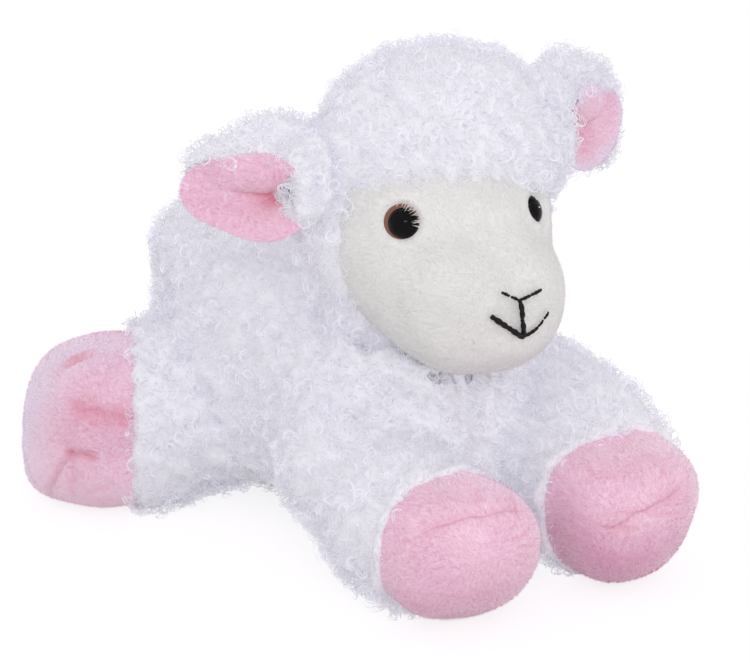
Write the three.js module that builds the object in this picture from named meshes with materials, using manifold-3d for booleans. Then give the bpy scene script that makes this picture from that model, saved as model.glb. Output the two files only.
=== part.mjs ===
// A small stuffed lamb lying on its belly. It faces -Y, its right side is at -X, and it lies on z = 0.
// Curly white fleece covers the body, the legs, the tail and the back of the head. The face is cream plush,
// the paws and the insides of the ears are pink plush. Fibre filling and a pellet bag lie inside the covers.
import * as THREE from "three";
import { mergeVertices } from "three/addons/utils/BufferGeometryUtils.js";
import Module from "manifold-3d";

const wasm = await Module();
wasm.setup();

// All lengths are in millimetres and all angles in degrees.
const GAP = 0.3; // between pieces that are sewn together or pressed against each other
const RUNNING_GAP = 0.3; // round a stuffed root that turns in its socket
const OVERRUN = 150; // how far a cutter reaches past what it cuts
const FLOOR_BITE = 0.5; // how much of each round form the floor flattens

// Cloth
const FLEECE_WALL = 5; // backing and curls of the fleece on body and legs
const PLUSH_WALL = 2.2; // backing and pile of the cream and pink plush
const SLEEVE_RISE = FLEECE_WALL - PLUSH_WALL; // how far a leg's fleece stands out over its paw's plush
const HOOD_RISE = 5.5; // how far the fleece of the head stands out over the face's plush

// Torso
const RUMP_WIDTH = 86;
const RUMP_LENGTH = 86;
const RUMP_HEIGHT = 92;
const RUMP_Y = 28;
const RUMP_SQUARENESS = 2.5; // exponent of the lobe: 2 is an ellipsoid, more is fuller in the corners
const CHEST_WIDTH = 78;
const CHEST_LENGTH = 84;
const CHEST_HEIGHT = 76;
const CHEST_Y = -22;
const CHEST_SQUARENESS = 2.1;
const BELLY_SEAM_HEIGHT = 15; // where the belly panel meets the two side panels
const BAG_WIDTH = 50;
const BAG_LENGTH = 46;
const BAG_HEIGHT = 36;
const BAG_Y = -8;
const BAG_SQUARENESS = 2.4;

// Head, measured over the face's plush and before it turns, nods and tilts
const SKULL_WIDTH = 70;
const SKULL_LENGTH = 56;
const SKULL_HEIGHT = 70;
const SKULL_Y = -33;
const SKULL_Z = 107;
const MUZZLE_WIDTH = 45;
const MUZZLE_LENGTH = 50;
const MUZZLE_HEIGHT = 42;
const MUZZLE_Y = -61;
const MUZZLE_Z = 82;
const MUZZLE_SQUARENESS = 2.3;
const CHEEK_WIDTH = 60;
const CHEEK_LENGTH = 46;
const CHEEK_HEIGHT = 54;
const CHEEK_Y = -44;
const CHEEK_Z = 91;
const HEAD_TURNED = -6; // it looks a little towards its right
const HEAD_NODDED = -4; // and down
const HEAD_TILT = 2; // with its left side the lower one

// Face opening in the hood, seen from the front
const FACE_WIDTH = 72;
const FACE_TOP_Z = 121;
const FACE_BOTTOM_Z = 54;
const FACE_BACK_Y = -45;
const FACE_SQUARENESS = 2.3; // exponent of the opening's oval
const FACE_SPOKES = 28;

// Neck
const NECK_Y = -26;
const NECK_Z = 74;
const NECK_RADIUS = 27;
const NECK_WALL = 4.5;
const NECK_LEAN = 30; // the neck leans forward from upright
const NECK_SLEEVE_HALF = 11; // half the length of the neck's fleece along its own axis

// Legs: the joint, the thickest place of the fleece, and the paw
const SHOULDER_X = 30;
const SHOULDER_Y = -41;
const SHOULDER_Z = 27;
const SHOULDER_RADIUS = 20;
const FORE_SHANK_X = 28.5;
const FORE_SHANK_Y = -66;
const FORE_SHANK_WIDTH = 46;
const FORE_SHANK_LENGTH = 50;
const FORE_SHANK_HEIGHT = 45;
const FORE_PAW_X = 27;
const FORE_PAW_Y = -89;
const FORE_PAW_WIDTH = 44;
const FORE_PAW_LENGTH = 44;
const FORE_PAW_HEIGHT = 39;
const FORE_CUFF = 6; // from the paw's middle back to the edge of the fleece
const HIP_X = 30;
const HIP_Y = 25;
const HIP_Z = 25;
const HIP_RADIUS = 20;
const HIND_SHANK_X = 44;
const HIND_SHANK_Y = 33;
const HIND_SHANK_WIDTH = 49;
const HIND_SHANK_LENGTH = 48;
const HIND_SHANK_HEIGHT = 49;
const HIND_PAW_X = 56;
const HIND_PAW_Y = 41.5;
const HIND_PAW_WIDTH = 46;
const HIND_PAW_LENGTH = 46;
const HIND_PAW_HEIGHT = 46;
const HIND_CUFF = 8;
const PAW_SQUARENESS = 2.2;
const TOE_SEAM_LIFT = 1.5; // how far the seam between paw top and sole lies over the paw's middle

// Ears: a root ball, and a cupped leaf that grows out of it
const EAR_X = 36;
const EAR_Y = -39;
const EAR_Z = 108;
const EAR_STAGGER = 5; // how much higher than the middle the left ear is sewn, and the right one lower
const EAR_ROOT_RADIUS = 6;
const EAR_DEPTH = 10; // from the rim back to the fleece's deepest place
const EAR_WALL = 4.5; // fleece behind the lining, at the deepest place
const EAR_DROP = 4; // how far the lining sits below the fleece's middle
const EAR_SWEEP = 37; // the ears point backward by this much
const EAR_RISE = 1; // and upward by this much
const EAR_FACING = 12; // the pink side looks down by this much
const LEAF_START = 2; // from the root's middle
const LEAF_LENGTH = 34;
const LEAF_HEIGHT = 35;
const LEAF_REACH = 42; // from the root's middle to the tip
const LEAF_TIP_LENGTH = 24; // of the smaller lobe that draws the leaf out to its tip
const LEAF_TIP_HEIGHT = 17;
const LINING_START = 6;
const LINING_LENGTH = 28;
const LINING_HEIGHT = 23;
const LINING_REACH = 39.5;
const LINING_TIP_LENGTH = 19;
const LINING_TIP_HEIGHT = 11;

// Tail
const TAIL_ROOT_Y = 65;
const TAIL_ROOT_Z = 50;
const TAIL_ROOT_RADIUS = 6.5;
const TAIL_Y = 76;
const TAIL_Z = 42;
const TAIL_WIDTH = 17;
const TAIL_DEPTH = 16;
const TAIL_HEIGHT = 27;
const TAIL_CLEARANCE = 3; // round its hanging part, which swings the widest

// Safety eyes: a dome with its shank, an iris ring under the dome, and a washer behind the plush
const EYE_X = 20;
const EYE_Z = 104;
const EYE_RADIUS = 4.2;
const EYE_HEIGHT = 3.4;
const IRIS_RADIUS = 5;
const IRIS_THICKNESS = 0.7;
const SHANK_RADIUS = 1.6;
const SHANK_LENGTH = 9;
const WASHER_RADIUS = 5.5;
const WASHER_THICKNESS = 1.3;
const WASHER_SEAT = 1; // from the plush's inner side in to the flat washer
const EYE_SIDES = 14;
const DOME_RINGS = 4;
const PROBE = 0.01; // step by which a surface's slope is felt

// Embroidery on the muzzle
const NOSE_X = 6.6;
const NOSE_TOP_Z = 91;
const NOSE_LOW_Z = 88.5;
const MOUTH_X = 9;
const MOUTH_CORNER_Z = 83.5;
const MOUTH_LOW_Z = 78;
const NOSE_THREAD_RADIUS = 0.45;
const MOUTH_THREAD_RADIUS = 0.6;
const THREAD_SIDES = 3; // in each half of the round section
const THREAD_STEPS = 6; // in each half of the stitch

// Joints: how far each one turns from rest, as the sewn and stuffed cloth lets it
const FORELEG_DOWN = 10;
const FORELEG_UP = 15;
const HINDLEG_DOWN = 8;
const HINDLEG_UP = 18;
const HEAD_DOWN = 5;
const HEAD_UP = 15;
const HEAD_TURN = 15;
const HEAD_SWING = 2; // how far the oval head's sides swing out as it turns
const EAR_DOWN = 20;
const EAR_UP = 20;
const TAIL_DOWN = 5;
const TAIL_UP = 35;

// Fineness of the round forms
const BLEND = 9; // exponent that blends neighbouring lobes: higher is a sharper crease
const SWEEP_BLEND = 60; // the same where the lobes are copies of one lobe that turns
const BISECTIONS = 40;
const BALL_SPOKES = 14;
const BALL_RINGS = 9;
const SWEEP_CLEARANCE = 2; // round lobes that swing: the flat facets of a space lie inside its round form
const HEART_SHARE = 1 / 3; // how far the heart of a leg's form lies towards its end
const RIGHT = -1;
const LEFT = 1;

const X_AXIS = new THREE.Vector3(1, 0, 0);
const Y_AXIS = new THREE.Vector3(0, 1, 0);
const Z_AXIS = new THREE.Vector3(0, 0, 1);
const point = (x, y, z) => new THREE.Vector3(x, y, z);
const radians = THREE.MathUtils.degToRad;

// An ellipsoid lobe of a stuffed form, from its middle and its full width, length and height.
const lobe = (middle, width, length, height, power = 2) => ({
  middle,
  radii: point(width, length, height).divideScalar(2),
  power,
});

// How far out a point lies in a form's blended lobes: 1 on the surface, less inside.
function depthIn({ lobes, blend = BLEND }, grow, at) {
  let sum = 0;
  for (const { middle, radii, power } of lobes) {
    const x = Math.abs(at.x - middle.x) / (radii.x + grow);
    const y = Math.abs(at.y - middle.y) / (radii.y + grow);
    const z = Math.abs(at.z - middle.z) / (radii.z + grow);
    const reach = (x ** power + y ** power + z ** power) ** (1 / power);
    sum += Math.max(reach, Number.EPSILON) ** -blend;
  }
  return sum ** (-1 / blend);
}

// The point where a ray from inside the form leaves it.
function surfacePoint(form, grow, from, direction) {
  let inside = 0;
  let outside = OVERRUN;
  for (let i = 0; i < BISECTIONS; i++) {
    const middle = (inside + outside) / 2;
    const at = from.clone().addScaledVector(direction, middle);
    if (depthIn(form, grow, at) < 1) inside = middle;
    else outside = middle;
  }
  return from.clone().addScaledVector(direction, inside);
}

// The point of a form's front surface that is seen at x and z from the front.
const frontPoint = (form, grow, x, z) => surfacePoint(form, grow, point(x, form.heart.y, z), point(0, -1, 0));

// A solid from the vertices and triangles of a closed geometry.
function solidOf(geometry) {
  const bare = geometry.clone();
  bare.deleteAttribute("normal");
  bare.deleteAttribute("uv");
  const merged = mergeVertices(bare);
  return new wasm.Manifold(
    new wasm.Mesh({
      numProp: 3,
      vertProperties: merged.attributes.position.array,
      triVerts: new Uint32Array(merged.index.array),
    }),
  );
}

// A stuffed form: rings of points round its pole axis, each one where a ray from the heart leaves the lobes.
function plump(form, grow = 0) {
  const { heart, pole, rings, spokes } = form;
  const turn = new THREE.Quaternion().setFromUnitVectors(Z_AXIS, pole.clone().normalize());
  const positions = [];
  const faces = [];
  const add = (polar, round) => {
    const direction = new THREE.Vector3().setFromSphericalCoords(1, polar, round);
    direction.set(direction.z, direction.x, direction.y).applyQuaternion(turn);
    positions.push(...surfacePoint(form, grow, heart, direction));
  };
  add(0, 0);
  for (let ring = 1; ring < rings; ring++) {
    for (let spoke = 0; spoke < spokes; spoke++) {
      add((Math.PI * ring) / rings, (2 * Math.PI * spoke) / spokes);
    }
  }
  add(Math.PI, 0);
  const last = positions.length / 3 - 1;
  const index = (ring, spoke) => 1 + (ring - 1) * spokes + (spoke % spokes);
  for (let spoke = 0; spoke < spokes; spoke++) {
    faces.push(0, index(1, spoke), index(1, spoke + 1));
    faces.push(last, index(rings - 1, spoke + 1), index(rings - 1, spoke));
    for (let ring = 1; ring < rings - 1; ring++) {
      const [a, b] = [index(ring, spoke), index(ring, spoke + 1)];
      const [c, d] = [index(ring + 1, spoke), index(ring + 1, spoke + 1)];
      faces.push(a, c, b, b, c, d);
    }
  }
  return closedSolid(positions, faces);
}

// A solid from plain lists, turned right side out.
function closedSolid(positions, faces) {
  const geometry = new THREE.BufferGeometry();
  geometry.setAttribute("position", new THREE.Float32BufferAttribute(positions, 3));
  geometry.setIndex(faces);
  const solid = solidOf(geometry);
  if (solid.volume() > 0) return solid;
  geometry.setIndex([...faces].reverse());
  return solidOf(geometry);
}

// Everything on the side of a plane that the normal points to.
function halfSpace(through, normal) {
  const turn = new THREE.Quaternion().setFromUnitVectors(Z_AXIS, normal.clone().normalize());
  const box = new THREE.BoxGeometry(2 * OVERRUN, 2 * OVERRUN, OVERRUN);
  box.translate(0, 0, OVERRUN / 2);
  box.applyQuaternion(turn).translate(through.x, through.y, through.z);
  return solidOf(box);
}

function ball(middle, radius, start = 0) {
  const sphere = new THREE.SphereGeometry(radius, BALL_SPOKES, BALL_RINGS, start);
  return solidOf(sphere.translate(middle.x, middle.y, middle.z));
}

// The space that a ball turns in: its flat facets stay outside the round ball, and face the ball's corners.
function socket(middle, radius) {
  const facetShare = Math.cos(Math.PI / BALL_SPOKES) * Math.cos(Math.PI / (2 * BALL_RINGS));
  return ball(middle, (radius + RUNNING_GAP) / facetShare, Math.PI / BALL_SPOKES);
}

// Where a point goes when it turns about a line.
const turnedPoint = (at, { through, axis }, degrees) =>
  at.clone().sub(through).applyAxisAngle(axis, radians(degrees)).add(through);

// A solid turned about a line.
function turnedSolid(solid, { through, axis }, degrees) {
  const turn = new THREE.Matrix4()
    .makeTranslation(through)
    .multiply(new THREE.Matrix4().makeRotationAxis(axis, radians(degrees)))
    .multiply(new THREE.Matrix4().makeTranslation(through.clone().negate()));
  return solid.transform(turn.elements);
}

// Copies of a lobe over a joint's range.
const sweptLobe = (one, joint) =>
  [joint.low, joint.low / 2, 0, joint.high / 2, joint.high].map((angle) => ({
    ...one,
    middle: turnedPoint(one.middle, joint, angle),
  }));

const floor = halfSpace(point(0, 0, 0), point(0, 0, -1));
const rightSide = halfSpace(point(-GAP / 2, 0, 0), X_AXIS.clone().negate());
const leftSide = halfSpace(point(GAP / 2, 0, 0), X_AXIS);

// Materials
const cloth = (color, roughness = 1) => new THREE.MeshStandardMaterial({ color, roughness, metalness: 0 });
const fleece = cloth("#ededf3", 0.95);
const creamPlush = cloth("#eeeae2");
const pinkPlush = cloth("#e8b4c8");
const filling = cloth("#f4f4f2");
const bagCloth = cloth("#d9d6cd");
const thread = cloth("#1d1718", 0.7);
const blackPlastic = cloth("#0b0b0d", 0.12);
const brownPlastic = cloth("#8a5340", 0.25);
const washerPlastic = cloth("#e9e9e6", 0.5);

const lamb = new THREE.Group();
const headPieces = new THREE.Group();

// Adds a solid to a group as a named mesh.
function piece(group, name, solid, material) {
  const { numProp, numVert, vertProperties, triVerts } = solid.getMesh();
  const positions = new Float32Array(numVert * 3);
  for (let i = 0; i < numVert; i++) {
    positions.set(vertProperties.subarray(i * numProp, i * numProp + 3), i * 3);
  }
  const geometry = new THREE.BufferGeometry();
  geometry.setAttribute("position", new THREE.BufferAttribute(positions, 3));
  geometry.setIndex(new THREE.BufferAttribute(new Uint32Array(triVerts), 1));
  geometry.computeVertexNormals();
  const mesh = new THREE.Mesh(geometry, material);
  mesh.name = name;
  group.add(mesh);
}

// Stuffed forms

const rumpMiddle = point(0, RUMP_Y, RUMP_HEIGHT / 2 - FLOOR_BITE);
const chestMiddle = point(0, CHEST_Y, CHEST_HEIGHT / 2 - FLOOR_BITE);
const torsoForm = {
  lobes: [
    lobe(rumpMiddle, RUMP_WIDTH, RUMP_LENGTH, RUMP_HEIGHT, RUMP_SQUARENESS),
    lobe(chestMiddle, CHEST_WIDTH, CHEST_LENGTH, CHEST_HEIGHT, CHEST_SQUARENESS),
  ],
  heart: point(0, (RUMP_Y + CHEST_Y) / 2, CHEST_HEIGHT / 2),
  pole: Y_AXIS,
  rings: 12,
  spokes: 18,
};

const headForm = {
  lobes: [
    lobe(point(0, SKULL_Y, SKULL_Z), SKULL_WIDTH, SKULL_LENGTH, SKULL_HEIGHT),
    lobe(point(0, CHEEK_Y, CHEEK_Z), CHEEK_WIDTH, CHEEK_LENGTH, CHEEK_HEIGHT),
    lobe(point(0, MUZZLE_Y, MUZZLE_Z), MUZZLE_WIDTH, MUZZLE_LENGTH, MUZZLE_HEIGHT, MUZZLE_SQUARENESS),
  ],
  heart: point(0, (CHEEK_Y + MUZZLE_Y) / 2, CHEEK_Z),
  pole: Y_AXIS,
  rings: 12,
  spokes: 20,
};

const neckPoint = point(0, NECK_Y, NECK_Z);
const neckAxis = point(0, -Math.sin(radians(NECK_LEAN)), Math.cos(radians(NECK_LEAN)));

// A leg's form and joint, from the places of its root, shank and paw. The root ball turns in its space,
// and the shank sweeps the rest of it.
function legOf({ root, rootRadius, shank, shankSize, paw, pawSize, cuff, low, high }) {
  const along = paw.clone().sub(root).setZ(0).normalize();
  const joint = { through: root, axis: point(along.y, -along.x, 0), low, high };
  const rise = 2 * SLEEVE_RISE;
  const [width, length, height] = shankSize;
  const rootSize = 2 * (rootRadius - SLEEVE_RISE);
  const rootLobe = lobe(root, rootSize, rootSize, rootSize);
  const shankLobe = lobe(shank, width - rise, length - rise, height - rise);
  const pawLobe = lobe(paw, ...pawSize, PAW_SQUARENESS);
  return {
    form: {
      lobes: [rootLobe, shankLobe, pawLobe],
      heart: shank.clone().lerp(paw, HEART_SHARE),
      pole: along,
      rings: 9,
      spokes: 12,
    },
    sweep: {
      lobes: [rootLobe, ...sweptLobe(shankLobe, joint), ...sweptLobe(pawLobe, joint)],
      blend: SWEEP_BLEND,
      heart: root.clone().lerp(shank, HEART_SHARE),
      pole: along,
      rings: 9,
      spokes: 14,
    },
    along,
    cuffPoint: paw.clone().addScaledVector(along, -cuff),
    paw,
    joint,
  };
}

const forelegOf = (side) =>
  legOf({
    root: point(side * SHOULDER_X, SHOULDER_Y, SHOULDER_Z),
    rootRadius: SHOULDER_RADIUS,
    shank: point(side * FORE_SHANK_X, FORE_SHANK_Y, FORE_SHANK_HEIGHT / 2 - FLOOR_BITE),
    shankSize: [FORE_SHANK_WIDTH, FORE_SHANK_LENGTH, FORE_SHANK_HEIGHT],
    paw: point(side * FORE_PAW_X, FORE_PAW_Y, FORE_PAW_HEIGHT / 2 - FLOOR_BITE),
    pawSize: [FORE_PAW_WIDTH, FORE_PAW_LENGTH, FORE_PAW_HEIGHT],
    cuff: FORE_CUFF,
    low: -FORELEG_DOWN,
    high: FORELEG_UP,
  });

const hindlegOf = (side) =>
  legOf({
    root: point(side * HIP_X, HIP_Y, HIP_Z),
    rootRadius: HIP_RADIUS,
    shank: point(side * HIND_SHANK_X, HIND_SHANK_Y, HIND_SHANK_HEIGHT / 2 - FLOOR_BITE),
    shankSize: [HIND_SHANK_WIDTH, HIND_SHANK_LENGTH, HIND_SHANK_HEIGHT],
    paw: point(side * HIND_PAW_X, HIND_PAW_Y, HIND_PAW_HEIGHT / 2 - FLOOR_BITE),
    pawSize: [HIND_PAW_WIDTH, HIND_PAW_LENGTH, HIND_PAW_HEIGHT],
    cuff: HIND_CUFF,
    low: -HINDLEG_DOWN,
    high: HINDLEG_UP,
  });

const legs = {
  foreleg_right: forelegOf(RIGHT),
  foreleg_left: forelegOf(LEFT),
  hindleg_right: hindlegOf(RIGHT),
  hindleg_left: hindlegOf(LEFT),
};

const tailRoot = point(0, TAIL_ROOT_Y, TAIL_ROOT_Z);
const tailForm = {
  lobes: [
    lobe(tailRoot, 2 * TAIL_ROOT_RADIUS, 2 * TAIL_ROOT_RADIUS, 2 * TAIL_ROOT_RADIUS),
    lobe(point(0, TAIL_Y, TAIL_Z), TAIL_WIDTH, TAIL_DEPTH, TAIL_HEIGHT),
  ],
  heart: point(0, (TAIL_ROOT_Y + TAIL_Y) / 2, (TAIL_ROOT_Z + TAIL_Z) / 2),
  pole: point(0, TAIL_Y - TAIL_ROOT_Y, TAIL_Z - TAIL_ROOT_Z),
  rings: 8,
  spokes: 10,
};

const bagForm = {
  lobes: [lobe(point(0, BAG_Y, FLEECE_WALL), BAG_WIDTH, BAG_LENGTH, BAG_HEIGHT, BAG_SQUARENESS)],
  heart: point(0, BAG_Y, FLEECE_WALL),
  pole: Y_AXIS,
  rings: 8,
  spokes: 12,
};

// A leaf in an ear's own axes: x from root to tip, y up along the ear, z out of its pink side.
function leafOf({ start, length, height, reach, tipLength, tipHeight, depth, drop }) {
  return {
    lobes: [
      lobe(point(start + length / 2, -drop, 0), length, height, 2 * depth),
      lobe(point(reach - tipLength / 2, -drop, 0), tipLength, tipHeight, 2 * depth),
    ],
    heart: point(start + length / 2, -drop, 0),
    pole: X_AXIS,
    rings: 8,
    spokes: 12,
  };
}

const leafForm = leafOf({
  start: LEAF_START,
  length: LEAF_LENGTH,
  height: LEAF_HEIGHT,
  reach: LEAF_REACH,
  tipLength: LEAF_TIP_LENGTH,
  tipHeight: LEAF_TIP_HEIGHT,
  depth: EAR_DEPTH,
  drop: 0,
});

const liningForm = leafOf({
  start: LINING_START,
  length: LINING_LENGTH,
  height: LINING_HEIGHT,
  reach: LINING_REACH,
  tipLength: LINING_TIP_LENGTH,
  tipHeight: LINING_TIP_HEIGHT,
  depth: EAR_DEPTH - EAR_WALL,
  drop: EAR_DROP,
});

// An ear's root, the placing of its own axes in the head, and its joint.
function earOf(side) {
  const sweep = radians(EAR_SWEEP);
  const along = point(side * Math.cos(sweep), Math.sin(sweep), Math.tan(radians(EAR_RISE))).normalize();
  const facing = point(side * Math.sin(sweep), -Math.cos(sweep), 0);
  facing.applyAxisAngle(along, -side * radians(EAR_FACING));
  const up = facing.clone().cross(along).multiplyScalar(side);
  const root = point(side * EAR_X, EAR_Y, EAR_Z + side * EAR_STAGGER);
  return {
    root,
    placing: new THREE.Matrix4().makeBasis(along, up, facing).setPosition(root),
    joint: { through: root, axis: facing.multiplyScalar(side), low: -EAR_DOWN, high: EAR_UP },
  };
}

const ears = { right: earOf(RIGHT), left: earOf(LEFT) };

// Joints of the tail and of the head, which turns with the neck and nods on it
const tailJoint = { through: tailRoot, axis: X_AXIS, low: -TAIL_DOWN, high: TAIL_UP };
const nodJoint = { through: neckPoint, axis: X_AXIS.clone().negate(), low: -HEAD_DOWN, high: HEAD_UP };
const turnJoint = { through: neckPoint, axis: Z_AXIS, low: -HEAD_TURN, high: HEAD_TURN };

// How the head lies on the neck
const headPlacing = new THREE.Matrix4()
  .makeTranslation(neckPoint)
  .multiply(new THREE.Matrix4().makeRotationZ(radians(HEAD_TURNED)))
  .multiply(new THREE.Matrix4().makeRotationX(radians(-HEAD_NODDED)))
  .multiply(new THREE.Matrix4().makeRotationY(radians(HEAD_TILT)))
  .multiply(new THREE.Matrix4().makeTranslation(neckPoint.clone().negate()));

// Spaces that the moving pieces need in what carries them

// The tail's hanging part, which swings in a space of its own beside the root's socket.
const tailDrop = { ...tailForm, lobes: [tailForm.lobes[1]], heart: tailForm.lobes[1].middle };

// The head, nodded and turned as far as it goes.
const headSweep = {
  lobes: headForm.lobes.flatMap((one) => {
    const placed = { ...one, middle: one.middle.clone().applyMatrix4(headPlacing) };
    return sweptLobe(placed, nodJoint).flatMap((nodded) => sweptLobe(nodded, turnJoint));
  }),
  blend: SWEEP_BLEND,
  heart: headForm.lobes[1].middle,
  pole: Z_AXIS,
  rings: 10,
  spokes: 14,
};

const legSpaces = Object.values(legs).map(({ sweep }) => plump(sweep, SLEEVE_RISE + SWEEP_CLEARANCE));
const tailSpace = [tailJoint.low, 0, tailJoint.high / 2, tailJoint.high].reduce(
  (all, angle) => all.add(turnedSolid(plump(tailDrop, TAIL_CLEARANCE), tailJoint, angle)),
  socket(tailRoot, TAIL_ROOT_RADIUS),
);
const neckSpace = socket(neckPoint, NECK_RADIUS);
const headSpace = plump(headSweep, HOOD_RISE + HEAD_SWING + SWEEP_CLEARANCE);

// Torso

const torsoSpaces = [...legSpaces, tailSpace, neckSpace, headSpace].reduce((all, one) => all.add(one));

function buildTorso() {
  const inside = plump(torsoForm, -FLEECE_WALL - GAP);
  const shell = plump(torsoForm).subtract(plump(torsoForm, -FLEECE_WALL));
  const skin = shell.subtract(floor).subtract(torsoSpaces);
  const over = skin.intersect(halfSpace(point(0, 0, BELLY_SEAM_HEIGHT + GAP / 2), Z_AXIS));
  const under = skin.intersect(halfSpace(point(0, 0, BELLY_SEAM_HEIGHT - GAP / 2), Z_AXIS.clone().negate()));
  piece(lamb, "torso_panel_right", over.intersect(rightSide), fleece);
  piece(lamb, "torso_panel_left", over.intersect(leftSide), fleece);
  piece(lamb, "belly_panel", under, fleece);
  piece(lamb, "torso_filling", inside.subtract(torsoSpaces).subtract(plump(bagForm, GAP)), filling);
  piece(lamb, "pellet_bag", plump(bagForm).intersect(inside).subtract(torsoSpaces), bagCloth);
}

// Legs

function buildLeg(name, { form, along, cuffPoint, paw }) {
  const leg = new THREE.Group();
  const inner = plump(form, -PLUSH_WALL);
  const behind = halfSpace(cuffPoint.clone().addScaledVector(along, -GAP), along.clone().negate());
  const ahead = halfSpace(cuffPoint, along);
  const seam = paw.z + TOE_SEAM_LIFT;
  const over = halfSpace(point(0, 0, seam + GAP / 2), Z_AXIS);
  const under = halfSpace(point(0, 0, seam - GAP / 2), Z_AXIS.clone().negate());
  const pawSkin = plump(form).subtract(inner).subtract(floor).intersect(ahead);
  const sleeve = plump(form, SLEEVE_RISE).subtract(inner).subtract(floor).intersect(behind);
  piece(leg, `${name}_sleeve`, sleeve, fleece);
  piece(leg, `${name}_paw_top`, pawSkin.intersect(over), pinkPlush);
  piece(leg, `${name}_paw_sole`, pawSkin.intersect(under), pinkPlush);
  piece(leg, `${name}_filling`, plump(form, -PLUSH_WALL - GAP), filling);
  lamb.add(leg);
}

// Tail: two layers of fleece sewn edge to edge

function buildTail() {
  const whole = plump(tailForm);
  const out = point(0, TAIL_ROOT_Z - TAIL_Z, TAIL_Y - TAIL_ROOT_Y).normalize();
  const seam = tailForm.heart;
  const inward = out.clone().negate();
  const layer = (side) => whole.intersect(halfSpace(seam.clone().addScaledVector(side, GAP / 2), side));
  piece(lamb, "tail_upper", layer(out), fleece);
  piece(lamb, "tail_under", layer(inward), fleece);
}

// Neck: a stuffed ball between head and torso, with a band of fleece round its waist

function buildNeck() {
  const band = (half) =>
    halfSpace(neckPoint.clone().addScaledVector(neckAxis, -half), neckAxis).intersect(
      halfSpace(neckPoint.clone().addScaledVector(neckAxis, half), neckAxis.clone().negate()),
    );
  const whole = ball(neckPoint, NECK_RADIUS);
  const sleeve = whole.intersect(band(NECK_SLEEVE_HALF)).subtract(ball(neckPoint, NECK_RADIUS - NECK_WALL));
  const core = ball(neckPoint, NECK_RADIUS - NECK_WALL - GAP);
  piece(lamb, "neck_sleeve", sleeve, fleece);
  piece(lamb, "neck_filling", whole.subtract(band(NECK_SLEEVE_HALF + GAP)).add(core), filling);
}

// The prism that cuts the face's opening out of the hood, from the front back to the cheeks.
function faceOpening(grow) {
  const width = FACE_WIDTH / 2 + grow;
  const height = (FACE_TOP_Z - FACE_BOTTOM_Z) / 2 + grow;
  const outline = [];
  for (let i = 0; i < FACE_SPOKES; i++) {
    const round = (2 * Math.PI * i) / FACE_SPOKES;
    const [across, up] = [Math.cos(round), Math.sin(round)];
    const fullness = Math.abs(across) ** FACE_SQUARENESS + Math.abs(up) ** FACE_SQUARENESS;
    const reachShare = fullness ** (-1 / FACE_SQUARENESS);
    outline.push(new THREE.Vector2(width * reachShare * across, height * reachShare * up));
  }
  const prism = new THREE.ExtrudeGeometry(new THREE.Shape(outline), { depth: OVERRUN, bevelEnabled: false });
  prism.rotateX(Math.PI / 2);
  prism.translate(0, FACE_BACK_Y + grow, (FACE_TOP_Z + FACE_BOTTOM_Z) / 2);
  return solidOf(prism);
}

// The direction straight out of a form's surface.
function outwardAt(form, at) {
  const slope = (axis) =>
    depthIn(form, 0, at.clone().addScaledVector(axis, PROBE)) -
    depthIn(form, 0, at.clone().addScaledVector(axis, -PROBE));
  return point(slope(X_AXIS), slope(Y_AXIS), slope(Z_AXIS)).normalize();
}

// A turned solid from its profile of radius and height, standing on the plush at an eye's place.
function turnedOnFace(profile, side) {
  const at = frontPoint(headForm, 0, side * EYE_X, EYE_Z);
  const out = outwardAt(headForm, at);
  const turn = new THREE.Quaternion().setFromUnitVectors(Y_AXIS, out);
  const geometry = new THREE.LatheGeometry(
    profile.map(([radius, height]) => new THREE.Vector2(radius, height)),
    EYE_SIDES,
  );
  return solidOf(geometry.applyQuaternion(turn).translate(at.x, at.y, at.z));
}

// A disc, or a ring where it has a bore.
const disc = (radius, low, high, bore = 0) => [
  [bore, low],
  [radius, low],
  [radius, high],
  [bore, high],
  ...(bore > 0 ? [[bore, low]] : []),
];

const irisLow = GAP;
const domeLow = irisLow + IRIS_THICKNESS + GAP;
const washerHigh = -PLUSH_WALL - WASHER_SEAT;

function domeProfile() {
  const profile = [
    [0, domeLow - SHANK_LENGTH],
    [SHANK_RADIUS, domeLow - SHANK_LENGTH],
    [SHANK_RADIUS, domeLow],
  ];
  for (let i = 0; i <= DOME_RINGS; i++) {
    const round = (Math.PI / 2) * (i / DOME_RINGS);
    profile.push([EYE_RADIUS * Math.cos(round), domeLow + EYE_HEIGHT * Math.sin(round)]);
  }
  profile[profile.length - 1][0] = 0;
  return profile;
}

function buildEye(name, side) {
  const bore = SHANK_RADIUS + GAP;
  piece(headPieces, `eye_${name}`, turnedOnFace(domeProfile(), side), blackPlastic);
  const iris = disc(IRIS_RADIUS, irisLow, irisLow + IRIS_THICKNESS, bore);
  piece(headPieces, `iris_${name}`, turnedOnFace(iris, side), brownPlastic);
  const washer = disc(WASHER_RADIUS, washerHigh - WASHER_THICKNESS, washerHigh, bore);
  piece(headPieces, `eye_washer_${name}`, turnedOnFace(washer, side), washerPlastic);
}

// A sewn thread that lies on the face through points given by x and z.
function stitched(places, radius) {
  const path = places.map(([x, z]) => {
    const at = frontPoint(headForm, 0, x, z);
    return at.addScaledVector(outwardAt(headForm, at), radius + GAP);
  });
  const section = new THREE.Shape().absarc(0, 0, radius, 0, 2 * Math.PI);
  const tube = new THREE.ExtrudeGeometry(section, {
    steps: 2 * THREAD_STEPS,
    curveSegments: THREAD_SIDES,
    extrudePath: new THREE.CatmullRomCurve3(path),
  });
  return solidOf(tube);
}

// Shares from -1 to 1 in even steps.
const acrossShares = Array.from({ length: 2 * THREAD_STEPS + 1 }, (_, i) => i / THREAD_STEPS - 1);

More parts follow.
